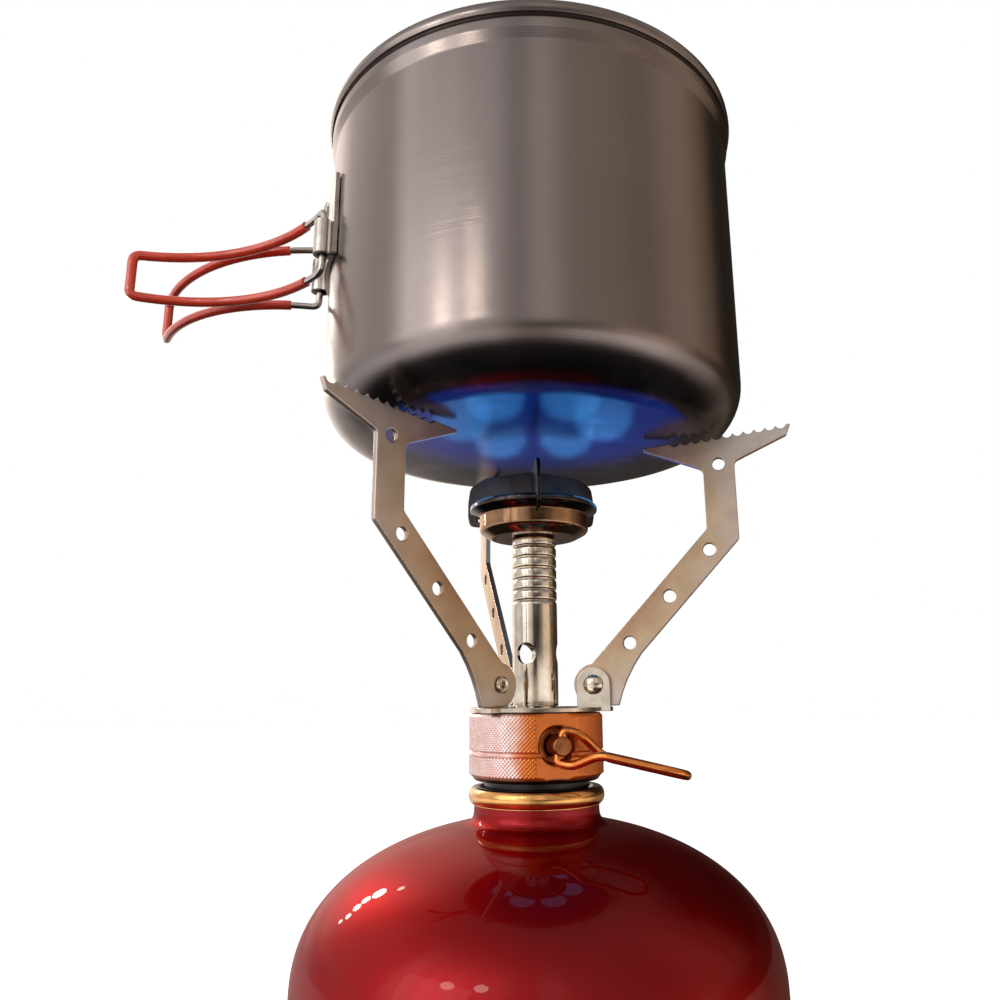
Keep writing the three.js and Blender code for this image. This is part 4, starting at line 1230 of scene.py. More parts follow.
class STOVE_OT_valve_body(StoveOperator, bpy.types.Operator):
    """Makes the knurled valve body with its milled flat, and the nut in its recess"""

    bl_idname = "stove.valve_body"
    bl_label = "Valve body"

    def make(self, scene):
        sizes = scene.stove_valve
        low, high = bottom("valve_body"), top("valve_body")
        radius, groove = sizes.radius, low + sizes.groove
        half = sizes.groove_width / 2
        chamfer = 0.7 * MM
        pitch = sizes.knurl_pitch
        insert = half_width("thread_insert") + GAP
        pocket = top("thread_insert") + GAP
        seat = bottom("stem_tube") - GAP
        jet_seat = bottom("jet") - GAP
        spigot, jet_bore, skirt = 5.15 * MM, 2.95 * MM, 12.5 * MM
        profile = [
            (0, pocket + 1.2 * MM), (5.4 * MM, pocket + 1.2 * MM), (5.4 * MM, pocket), (insert, pocket),
            (insert, low, 0.3 * MM), (skirt - 1 * MM, low), (skirt - 1 * MM, low - 2.2 * MM),
            (skirt, low - 2.2 * MM),
            (skirt, low), (radius - 1.5 * MM, low, 0.2 * MM), (radius - 0.7 * MM, low + 1.0 * MM, 0.2 * MM),
            *ladder(radius, low + 1.5 * MM, groove - half, pitch / 6),
            (radius - sizes.groove_depth, groove - half + 0.3 * MM, 0.15 * MM),
            (radius - sizes.groove_depth, groove + half - 0.3 * MM, 0.15 * MM),
            *ladder(radius, groove + half, high - chamfer, pitch / 6),
            (radius - chamfer, high, 0.15 * MM), (spigot, high, 0.3 * MM), (spigot, seat), (jet_bore, seat),
            (jet_bore, jet_seat), (0, jet_seat),
        ]
        columns_round = 6 * round(ROUND * radius / pitch)
        body = turned("knurled_body", rounded(profile, closed=False), columns_round)
        copper = made_once(copper_anodising)
        shaped(
            body, knurl_tree(), centre=STEM, radius=radius, pitch=pitch, depth=sizes.knurl_depth,
            flat_normal=SPINDLE_AXIS, flat_distance=sizes.flat, material=copper,
        )
        recess = turned(
            "recess",
            rounded([(0, sizes.recess_floor), (sizes.recess, sizes.recess_floor),
                     (sizes.recess, sizes.flat - 0.35 * MM), (sizes.recess + 0.6 * MM, sizes.flat + 0.25 * MM),
                     (sizes.recess + 0.6 * MM, sizes.flat + 3 * MM), (0, sizes.flat + 3 * MM)], closed=False),
            64, along_spindle(),
        )
        combine(body, recess)
        fit(body, copper, "valve_body", sharp=50)
        fit(self.nut(sizes), made_once(aged_copper), "gland_nut")

    def nut(self, sizes):
        start, bore = sizes.recess_floor + 1.9 * MM, sizes.spindle + GAP
        outer, length_of = sizes.recess - GAP, 2.6 * MM
        nut = turned(
            "slotted_nut",
            rounded([(bore, start), (outer, start), (outer, start + length_of, 0.4 * MM),
                     (bore, start + length_of, 0.4 * MM)]),
            64, along_spindle(),
        )
        slot = mesh_object("slot", *box_faces(2 * outer, 1.2 * MM, 1.6 * MM))
        slot.data.transform(along_spindle() @ Matrix.Translation((0, 0, start + length_of)))
        return combine(nut, slot)


def box_faces(x, y, z):
    """The corners and faces of a block centred on the origin."""
    corners = [
        (sx * x / 2, sy * y / 2, sz * z / 2) for sz in (-1, 1) for sy in (-1, 1) for sx in (-1, 1)
    ]
    faces = [(0, 2, 3, 1), (4, 5, 7, 6), (0, 1, 5, 4), (2, 6, 7, 3), (0, 4, 6, 2), (1, 3, 7, 5)]
    return corners, faces


class STOVE_OT_valve(StoveOperator, bpy.types.Operator):
    """Makes the valve spindle and its wire handle"""

    bl_idname = "stove.valve"
    bl_label = "Valve spindle and handle"

    def make(self, scene):
        sizes = scene.stove_valve
        fold = JOINTS["handle_fold"]
        hinge = Vector(fold["axis"]).normalized()
        pivot = Vector(fold["pos_m"])
        start = 1.4 * MM
        thread = 2.6 * MM
        seat = 3.4 * MM
        shoulder = sizes.recess_floor - 0.4 * MM
        spindle = turned(
            "needle_spindle",
            rounded(
                [(0, start), (0.3 * MM, start), (0.65 * MM, seat), (1.3 * MM, seat + 0.5 * MM),
                 (1.3 * MM, seat + 2.4 * MM), (thread, seat + 2.4 * MM), (thread, shoulder),
                 (sizes.spindle, shoulder), (sizes.spindle, sizes.spindle_end, 0.5 * MM),
                 (0, sizes.spindle_end)],
                closed=False,
            ),
            48, along_spindle(),
        )
        across = columns(SPINDLE_AXIS, hinge.cross(SPINDLE_AXIS), hinge, pivot)
        hole = rod("hole", sizes.wire + GAP, -6 * MM, 6 * MM, across, 32)
        fit(combine(spindle, hole), made_once(aged_copper), "valve_spindle")

        outwards_now = Matrix.Rotation(sizes.swing, 3, hinge) @ SPINDLE_AXIS
        place = columns(outwards_now, hinge.cross(outwards_now), hinge, pivot)
        ear = sizes.spindle + sizes.wire + 0.4 * MM
        long, wide = sizes.handle, sizes.handle_half
        half = [
            (0, 0, 0.8 * MM), (0, 0, ear), (3.6 * MM, 0.4 * MM, ear), (9.5 * MM, wide, 0),
            (long - wide, wide, 0), (long - 0.3 * wide, 0.7 * wide, 0),
        ]
        other = [(x, -y, -z) for x, y, z in half][::-1]
        path = bent_path([place @ Vector(p) for p in (*half, (long, 0, 0), *other)], 2.2 * MM)
        handle = swept("wire_handle", path, lambda share: sizes.wire, 20)
        fit(handle, made_once(copper_wire), "valve_handle")


def bent_path(points, radius, steps=6, stretch=1.6 * MM):
    """Straight runs between points with their corners bent, and points along the runs."""
    made = [Vector(points[0])]
    for i in range(1, len(points) - 1):
        here = Vector(points[i])
        back, ahead = Vector(points[i - 1]) - here, Vector(points[i + 1]) - here
        reach = min(radius, 0.48 * back.length, 0.48 * ahead.length)
        start, end = here + back.normalized() * reach, here + ahead.normalized() * reach
        made += spread(made[-1], start, stretch)
        for k in range(1, steps + 1):
            t = k / steps
            made.append((1 - t) ** 2 * start + 2 * t * (1 - t) * here + t**2 * end)
    made += spread(made[-1], Vector(points[-1]), stretch)
    return made


def spread(start, end, stretch):
    """Points from a start to an end, without the start."""
    count = max(1, math.ceil((end - start).length / stretch))
    return [start.lerp(end, k / count) for k in range(1, count + 1)]


class STOVE_OT_arms(StoveOperator, bpy.types.Operator):
    """Makes the arm plate with its three tabs, the three toothed arms and their rivets"""

    bl_idname = "stove.arms"
    bl_label = "Arms"

    def make(self, scene):
        sizes = scene.stove_arms
        steel = made_once(arm_steel)
        for side in ("right", "left", "rear"):
            arm = cut_sheet(
                f"toothed_arm_{side}", self.outline(sizes), sizes.thickness, 0.22 * MM, self.place(side)
            )
            fit(arm, steel, f"arm_{side}", sharp=20)
        fit(self.plate(sizes), made_once(nickel), "arm_plate", sharp=20)
        rivet = self.rivet(sizes)
        shaped(rivet, circle_tree(), centre=STEM, count=3, material=made_once(nickel))
        fit(rivet, made_once(nickel), "arm_right_rivet", "arm_left_rivet", "arm_rear_rivet")

    def place(self, side):
        """An arm's own plane: X outwards, Y up and Z along its pivot."""
        joint = JOINTS[f"arm_{side}_fold"]
        axis = Vector(joint["axis"])
        return columns(UP.cross(axis), UP, axis, Vector(joint["pos_m"]))

    def outline(self, sizes):
        lean = sizes.leg_angle
        run, rise = math.cos(lean), math.sin(lean)

        def along(distance, side):
            return run * distance - rise * side, rise * distance + run * side

        foot = JOINTS["arm_right_fold"]["pos_m"][2] - bottom("arm_right")
        bend = Vector(along(sizes.leg, 0))
        half_leg, half_post = sizes.leg_width / 2, sizes.post_width / 2
        slope = math.tan(sizes.bar_slope)

        def edge(offset):
            return bend.x + offset, bend.y + sizes.post + offset * slope

        def leg_edge(x, side):
            return x * math.tan(lean) + side / run

        inner, outer = bend.x - half_post, bend.x + half_post
        heel = 5.9 * MM
        points = [(0, -foot), (heel, -foot, 0.5 * MM)]
        start, pull, end = Vector(points[-1][:2]), Vector((heel + 1.6 * MM, 1.4 * MM)), Vector(
            along(sizes.first_hole, -half_leg)
        )
        for t in (0.25, 0.5, 0.75, 1.0):
            points.append(tuple((1 - t) ** 2 * start + 2 * t * (1 - t) * pull + t**2 * end))
        tip = edge(sizes.bar_outer)
        points += [
            (outer, leg_edge(outer, -half_leg), 1.2 * MM),
            (outer, bend.y + sizes.post - 7 * MM, 1.5 * MM),
            (tip[0] - 1.2 * MM, tip[1] - 2.9 * MM, 0.6 * MM),
            (*tip, 0.4 * MM),
        ]
        scallop = 6
        for i in range(sizes.teeth):
            crest = sizes.bar_outer - 1 * MM - i * sizes.tooth_pitch
            for k in range(scallop + 1):
                share = k / scallop
                x, y = edge(crest - share * sizes.tooth_pitch)
                points.append((x, y - sizes.tooth_depth * math.sin(math.pi * share) ** 0.7))
        far = edge(-sizes.bar_inner)
        points += [
            (*far, 0.3 * MM), (far[0], far[1] - 0.9 * MM, 0.3 * MM),
            (inner, bend.y + sizes.post - 8.6 * MM, 2.0 * MM), (inner, leg_edge(inner, half_leg), 1.2 * MM),
        ]
        meet = math.sqrt(foot**2 - half_leg**2)
        turn = lean + math.acos(meet / foot)
        steps = 14
        for i in range(steps):
            here = turn + (1.5 * math.pi - turn) * i / steps
            points.append((foot * math.cos(here), foot * math.sin(here)))
        holes = [circle(sizes.pin + GAP)]
        holes += [
            circle(sizes.hole, *along(sizes.first_hole + i * sizes.hole_pitch, 0)) for i in range(3)
        ]
        holes.append(circle(sizes.hole, bend.x, bend.y + sizes.post - 7.3 * MM))
        return [[tuple(p) for p in rounded(points)], *holes]

    def plate(self, sizes):
        thick = sizes.tab_sheet
        level = top("valve_body") + GAP + thick / 2
        disc_radius = 16 * MM
        disc = cut_sheet(
            "tabbed_plate", [circle(disc_radius, sides=96), circle(5.15 * MM, sides=48)], thick, 0.12 * MM,
            Matrix.Translation(STEM + level * UP),
        )
        height = JOINTS["arm_right_fold"]["pos_m"][2] - level
        half = sizes.tab / 2
        bend = 0.5 * thick
        dome = [(half * math.cos(math.pi * i / 20), height + half * math.sin(math.pi * i / 20)) for i in range(21)]
        outline = [(-half, -thick / 2), (half, -thick / 2), *dome]
        near = sizes.thickness / 2 + GAP
        pivot = Vector(JOINTS["arm_right_fold"]["pos_m"])
        axis = Vector(JOINTS["arm_right_fold"]["axis"])
        out = UP.cross(axis)
        foot = Vector((pivot.x, pivot.y, level))
        upright = columns(out, UP, axis, foot + axis * (near + thick / 2))
        tab = cut_sheet(
            "tab", [outline, circle(sizes.pin + GAP, 0, height)], thick, 0.12 * MM, upright
        )
        ear_width = near + thick + sizes.thickness
        ear = mesh_object("ear", *box_faces(sizes.tab, ear_width, thick))
        ear.data.transform(
            columns(out, -axis, UP, foot + axis * (near + thick - ear_width / 2 - bend / 4))
        )
        combine(ear, tab, operation="UNION")
        shaped(ear, circle_tree(), centre=STEM, count=3, material=made_once(nickel))
        combine(disc, ear, operation="UNION")
        return disc

    def rivet(self, sizes):
        joint = JOINTS["arm_right_fold"]
        axis = Vector(joint["axis"])
        near = sizes.thickness / 2 + GAP
        face, tail = near + sizes.tab_sheet + GAP, -sizes.thickness / 2 - GAP
        head, pin = sizes.rivet, sizes.pin
        roll = 0.8 * head
        dome = [
            (head * math.cos(t), face + 0.25 * MM + 1.25 * MM * math.sin(t))
            for t in (math.pi / 2 * i / 10 for i in range(11))
        ]
        profile = [
            (0, tail + 0.6 * MM), (0.55 * MM, tail + 0.6 * MM), (0.6 * MM, tail - 0.5 * MM, 0.3 * MM),
            (roll * 0.75, tail - 0.72 * MM, 0.3 * MM), (roll, tail - 0.45 * MM, 0.2 * MM), (roll, tail),
            (pin, tail), (pin, face), (head, face, 0.1 * MM), *dome[:-1], (0, face + 1.5 * MM),
        ]
        place = columns(UP.cross(axis), UP, axis, Vector(joint["pos_m"]))
        return turned("domed_rivets", rounded(profile, closed=False), 32, place)


class STOVE_OT_burner(StoveOperator, bpy.types.Operator):
    """Makes the ringed stem, the burner cup, the gauze, the slotted flame cap and the wind clip"""

    bl_idname = "stove.burner"
    bl_label = "Burner"

    def make(self, scene):
        sizes = scene.stove_burner
        fit(self.stem(sizes), made_once(nickel), "stem_tube", sharp=30)
        fit(self.cup(sizes), made_once(heated_bronze), "burner_cup")
        fit(self.cap(sizes), made_once(heated_bronze), "burner_cap")
        fit(self.gauze(sizes), made_once(drawn_steel), "burner_screen")
        fit(self.clip(sizes), made_once(dark_scale), "wind_clip", sharp=20)

    def stem(self, sizes):
        low, high = bottom("stem_tube"), top("stem_tube")
        foot = top("valve_body") + GAP + 1 * MM + GAP
        shoulder = bottom("burner_cup") + sizes.cup_lift - GAP
        spigot = 4.9 * MM
        start = foot + sizes.ring_start
        profile = [
            (sizes.bore, low), (spigot, low, 0.2 * MM), (spigot, foot), (sizes.stem, foot, 0.3 * MM),
            (sizes.stem, start - 2 * MM), *ladder(sizes.stem, start - 1.2 * MM, shoulder - 0.4 * MM, 0.11 * MM),
            (sizes.stem - 0.3 * MM, shoulder), (spigot, shoulder), (spigot, high), (sizes.bore, high),
        ]
        stem = turned("ringed_stem", rounded(profile), 96)
        shaped(
            stem, ring_tree(), centre=STEM, start=start, pitch=sizes.ring_pitch, count=float(sizes.rings),
            depth=sizes.ring_depth, wall=sizes.stem - 0.1 * MM, material=made_once(nickel),
        )
        plate_top = foot - GAP
        air = at_bearing(sizes.air_azimuth, 0, plate_top + sizes.air_height) @ Matrix.Rotation(
            math.pi / 2, 4, "Y"
        )
        drill = rod("drill", sizes.air_hole, 1 * MM, 2 * sizes.stem, air, 48)
        shaped(drill, circle_tree(), centre=STEM, count=3, material=made_once(nickel))
        return combine(stem, drill)

    def cup(self, sizes):
        low, high = bottom("burner_cup") + sizes.cup_lift, top("burner_cup")
        flange_low = high - sizes.flange_height
        floor = low + 1.0 * MM
        spigot = 4.9 * MM + GAP
        profile = [
            (spigot, low, 0.2 * MM), (sizes.cup - 3.0 * MM, low, 1.2 * MM), (sizes.cup, low + 1.6 * MM, 1.4 * MM),
            (sizes.cup, flange_low - 1.0 * MM, 0.5 * MM), (sizes.flange - 0.6 * MM, flange_low, 0.3 * MM),
            (sizes.flange, flange_low + 0.4 * MM, 0.4 * MM), (sizes.flange, high - 0.6 * MM, 0.4 * MM),
            (sizes.flange - 0.8 * MM, high, 0.4 * MM), (sizes.cup - 0.2 * MM, high - 0.3 * MM, 0.3 * MM),
            (sizes.cup - 1 * MM, high - 1.2 * MM, 0.3 * MM), (sizes.cup - 1 * MM, floor, 1 * MM), (spigot, floor),
        ]
        return turned("burner_bowl", rounded(profile), 128)

    def cap(self, sizes):
        skirt = half_width("burner_cap")
        low, high = bottom("burner_cap"), top("burner_cap")
        profile = [
            (0, low + 2.4 * MM), (skirt - 2.2 * MM, low + 2.4 * MM, 0.3 * MM), (skirt - 1.4 * MM, low, 0.2 * MM),
            (skirt, low, 0.2 * MM), (skirt, high - 1.4 * MM, 0.4 * MM), (skirt - 2.4 * MM, high, 0.6 * MM),
            (4 * MM, high - 0.7 * MM, 1.5 * MM), (0, high - 0.8 * MM),
        ]
        cap = turned("slotted_cap", rounded(profile, closed=False), 96)
        slot = mesh_object("slot", *box_faces(4 * MM, 1.1 * MM, 4 * MM))
        slot.data.transform(at_bearing(math.pi / sizes.ports, skirt, high))
        shaped(slot, circle_tree(), centre=STEM, count=sizes.ports, material=made_once(heated_bronze))
        return combine(cap, slot)

    def gauze(self, sizes):
        centre = Vector((STEM.x, STEM.y, middle("burner_screen").z))
        seed = mesh_object("gauze_disc", [centre], [])
        return shaped(
            seed, gauze_tree(), centre=centre, radius=half_width("burner_screen") - 0.2 * MM,
            pitch=sizes.gauze_pitch, wire=0.1 * MM, material=made_once(drawn_steel),
        )

    def clip(self, sizes):
        top_of_flange = top("burner_cup")
        under = top_of_flange - sizes.flange_height
        crown, hook = top("wind_clip"), bottom("wind_clip")
        lip = 0.35 * MM
        reach, flange = sizes.vane_reach, sizes.flange + lip
        outline = [
            (-0.3 * MM, top_of_flange + lip), (flange, top_of_flange + lip, 0.3 * MM),
            (flange, under - lip, 0.3 * MM), (flange - 1.3 * MM, under - lip - 0.4 * MM, 0.3 * MM),
            (flange - 0.9 * MM, hook, 0.4 * MM), (reach - 0.6 * MM, hook + 0.5 * MM, 1.6 * MM),
            (reach, under + 1.2 * MM, 1.5 * MM), (reach, top_of_flange + 2.8 * MM, 2 * MM),
            (reach - 0.7 * MM, crown - 2.0 * MM, 2.6 * MM), (0.72 * reach, crown, 2 * MM), (-0.3 * MM, crown),
        ]
        upright = at_bearing(sizes.vane_azimuth) @ Matrix.Rotation(math.pi / 2, 4, "X")
        vane = cut_sheet(
            "wind_vanes", [[tuple(p) for p in rounded(outline)]], sizes.vane, 0.12 * MM, upright
        )
        others = []
        for i in (1, 2):
            other = bpy.data.objects.new("vane", vane.data.copy())
            bpy.context.scene.collection.objects.link(other)
            spin = Matrix.Rotation(i * ROUND / 3, 4, "Z")
            other.data.transform(Matrix.Translation(STEM) @ spin @ Matrix.Translation(-STEM))
            others.append(other)
        return combine(vane, *others, operation="UNION")


class STOVE_OT_pot(StoveOperator, bpy.types.Operator):
    """Makes the lipped pot"""

    bl_idname = "stove.pot"
    bl_label = "Pot"

    def make(self, scene):
        sizes = scene.stove_pot
        low, high = bottom("pot_body"), top("pot_body")
        radius, wall, corner = sizes.radius, sizes.wall, sizes.corner
        collar = high - sizes.collar
        out = radius + sizes.step
        lip = out + sizes.lip
        inner = radius - wall
        steps = 14

        def base_corner(reach):
            turns = [math.pi / 2 * i / steps for i in range(steps + 1)]
            return [
                (radius - corner + reach * math.sin(t), low + corner - reach * math.cos(t)) for t in turns
            ]

        profile = [
            (0, low), *base_corner(corner), (radius, collar - 1.6 * MM, 2.6 * MM),
            (out + 0.45 * MM, collar + 1.2 * MM, 2.2 * MM), (out + 0.55 * MM, high - 4.6 * MM, 1.6 * MM),
            (out + 0.2 * MM, high - 3.75 * MM, 0.3 * MM), (out, high - 3.6 * MM, 0.1 * MM),
            (lip - 0.2 * MM, high - 3.45 * MM, 0.3 * MM), (lip + 0.25 * MM, high - 2.2 * MM, 1.6 * MM),
            (lip + 0.05 * MM, high - 0.5 * MM, 0.9 * MM), (lip - 1.0 * MM, high, 0.8 * MM),
            (out - wall, high - 0.5 * MM, 0.6 * MM),
            (out - wall, collar, 0.5 * MM), (inner, collar - 1.5 * MM, 1 * MM),
            *base_corner(corner - wall)[::-1], (0, low + wall),
        ]
        pot = turned("lipped_pot", rounded(profile, closed=False, steps=5), 192)
        drills = [
            rod("drill", sizes.rivet + GAP, radius - 6 * MM, radius + 8 * MM, place, 32)
            for place in rivet_places(sizes)
        ]
        fit(combine(pot, *drills), made_once(pot_anodising), "pot_body")


def rivet_places(sizes):
    """Z outwards through the pot's wall at each of the bracket's rivets."""
    return [
        at_bearing(sizes.bracket_azimuth, 0, middle(f"bracket_rivet_{end}").z)
        @ Matrix.Rotation(math.pi / 2, 4, "Y")
        for end in ("lower", "upper")
    ]


class STOVE_OT_pot_bracket(StoveOperator, bpy.types.Operator):
    """Makes the handle's bracket, with its rolled barrels, and its rivets"""

    bl_idname = "stove.pot_bracket"
    bl_label = "Pot bracket"

    def make(self, scene):
        sizes = scene.stove_pot
        steel = made_once(bright_steel)
        fit(self.bracket(sizes), steel, "handle_bracket", sharp=20)
        rivets = [self.rivet(sizes, place) for place in rivet_places(sizes)]
        joined = combine(*rivets, operation="UNION")
        fit(joined, steel, "bracket_rivet_lower", "bracket_rivet_upper")

    def bracket(self, sizes):
        low, high = bottom("handle_bracket"), top("handle_bracket")
        face = sizes.radius + GAP
        half, sheet = sizes.bracket_half, sizes.bracket_sheet
        steps = 12
        turns = [-half + 2 * half * i / steps for i in range(steps + 1)]
        outer = [((face + sheet) * math.cos(t), (face + sheet) * math.sin(t)) for t in turns]
        inner = [(face * math.cos(t), face * math.sin(t)) for t in turns]
        strip = prism("rolled_bracket", outer + inner[::-1], low, high, at_bearing(sizes.bracket_azimuth))
        barrel_z = JOINTS["pot_handle_front_swing"]["pos_m"][2]
        bore = sizes.bore
        for end in ("front", "rear"):
            hinge = Vector(JOINTS[f"pot_handle_{end}_swing"]["pos_m"])
            away = hinge - STEM
            azimuth = math.atan2(away.y, away.x)
            reach = math.hypot(away.x, away.y)
            depth = reach - face
            web = mesh_object("web", *box_faces(depth, 2 * bore, sizes.barrel))
            web.data.transform(at_bearing(azimuth, face + depth / 2, barrel_z))
            shell = rod(
                "shell", bore + sizes.barrel_wall, -sizes.barrel / 2, sizes.barrel / 2,
                Matrix.Translation(hinge), 40,
            )
            combine(strip, web, shell, operation="UNION")
            drill = rod("drill", bore, -sizes.barrel, sizes.barrel, Matrix.Translation(hinge), 40)
            seam = mesh_object("seam", *box_faces(0.5 * MM, 2 * sizes.barrel_wall, 2 * sizes.barrel))
            turn = azimuth + (math.pi / 3 if end == "front" else -math.pi / 3)
            seam.data.transform(
                Matrix.Translation(hinge) @ Matrix.Rotation(turn, 4, "Z")
                @ Matrix.Translation((0, bore + sizes.barrel_wall, 0))
            )
            combine(strip, drill, seam)
        drills = [
            rod("drill", sizes.rivet + GAP, face - 4 * MM, face + 4 * MM, place, 32)
            for place in rivet_places(sizes)
        ]
        combine(strip, *drills)
        return ease(strip, 0.16 * MM)

    def rivet(self, sizes, place):
        inside = sizes.radius - sizes.wall - GAP
        outside = sizes.radius + 2 * GAP + sizes.bracket_sheet
        head, pin = 1.7 * sizes.rivet, sizes.rivet
        profile = [
            (0, inside - 0.9 * MM), (0.6 * head, inside - 0.85 * MM, 0.6 * MM), (head, inside - 0.2 * MM, 0.3 * MM),
            (head, inside), (pin, inside), (pin, outside), (head, outside),
            (head, outside + 0.2 * MM, 0.3 * MM), (0.6 * head, outside + 0.85 * MM, 0.6 * MM),
            (0, outside + 0.9 * MM),
        ]
        return turned("bracket_rivets", rounded(profile, closed=False), 32, place)


def prism(name, outline, low, high, place):
    """A flat outline raised from one height to another."""
    count = len(outline)
    verts = [(x, y, z) for z in (low, high) for x, y in outline]
    sides = [(i, (i + 1) % count, (i + 1) % count + count, i + count) for i in range(count)]
    made = mesh_object(name, verts, [tuple(range(count))[::-1], tuple(range(count, 2 * count)), *sides])
    outwards(made.data)
    made.data.transform(place)
    return made


class STOVE_OT_pot_handles(StoveOperator, bpy.types.Operator):
    """Makes the two folding wire loops and their silicone sleeves"""

    bl_idname = "stove.pot_handles"
    bl_label = "Pot handles"

    def make(self, scene):
        sizes = scene.stove_pot
        for end, chord, side in (("front", sizes.front_chord, -1), ("rear", sizes.rear_chord, 1)):
            hinge = Vector(JOINTS[f"pot_handle_{end}_swing"]["pos_m"])
            place = Matrix.Translation(hinge) @ Matrix.Rotation(chord, 4, "Z")
            path = [place @ p for p in self.loop(sizes, side)]
            wire = swept(f"loop_wire_{end}", path, lambda share: sizes.wire, 20)
            fit(wire, made_once(bright_steel), f"handle_wire_{end}")
            cover = trimmed(path, sizes.bare)
            fit(self.sleeve(sizes, end, cover), made_once(red_silicone), f"handle_sleeve_{end}")

    def loop(self, sizes, side):
        end_depth = 3.2 * MM
        upper, lower = sizes.barrel / 2 + sizes.above, -sizes.barrel / 2 - sizes.below
        tip = lower + sizes.loop_height
        half = sizes.loop / 2
        radius = (half**2 + sizes.bulge**2) / (2 * sizes.bulge)
        opening = math.asin(half / radius)
        steps = 14

        def arc(from_z, to_z):
            points = []
            for i in range(steps + 1):
                turn = opening * (2 * i / steps - 1)
                points.append(
                    (half + radius * math.sin(turn), side * (sizes.bulge - radius * (1 - math.cos(turn))),
                     from_z + (to_z - from_z) * i / steps)
                )
            return points

        corners = [
            (0, 0, sizes.barrel / 2 - end_depth), *arc(upper, tip), *arc(lower, lower)[::-1],
            (0, 0, -sizes.barrel / 2 + end_depth),
        ]
        return bent_path(corners, 2.4 * MM)

    def sleeve(self, sizes, end, path):
        bore = sizes.wire + 0.04 * MM
        outer = sizes.sleeve
        total = path_length(path)
        lip = 0.4 * MM / total

        def section(share):
            near = min(share, 1 - share) / lip
            return outer - 0.3 * MM * max(0.0, 1 - near) ** 2

        return swept(f"sleeve_{end}", path, section, 24, bore)


def path_length(path):
    return sum((b - a).length for a, b in zip(path, path[1:]))


def trimmed(path, inset):
    """A path without a length at each end, with close points where it starts and stops."""
    total = path_length(path)
    marks = [0.0]
    for a, b in zip(path, path[1:]):
        marks.append(marks[-1] + (b - a).length)

    def at(distance):
        for i in range(1, len(marks)):
            if distance <= marks[i]:
                return path[i - 1].lerp(path[i], (distance - marks[i - 1]) / (marks[i] - marks[i - 1]))
        return path[-1].copy()

    close = [0.0, 0.12 * MM, 0.3 * MM, 0.5 * MM]
    inner = [mark for mark in marks if inset + close[-1] < mark < total - inset - close[-1]]
    wanted = [inset + c for c in close] + inner + [total - inset - c for c in reversed(close)]
    return [at(distance) for distance in wanted]


class STOVE_OT_inner_pieces(StoveOperator, bpy.types.Operator):
    """Gives the pieces inside the cartridge's valve and the stove's body their finishes"""

    bl_idname = "stove.inner_pieces"
    bl_label = "Inner pieces"

    def make(self, scene):
        finishes = {
            black_rubber: ["valve_cup_gasket", "plunger_seal", "cartridge_seal_ring", "spindle_seal_ring"],
            white_acetal: ["cartridge_valve_housing"],
            turned_brass: ["cartridge_plunger", "thread_insert", "opening_pin", "jet"],
            drawn_steel: ["plunger_spring"],
        }
        for maker, nodes in finishes.items():
            for node in nodes:
                slots = frame["nodes"][node].material_slots
                for slot in slots:
                    slot.material = made_once(maker)


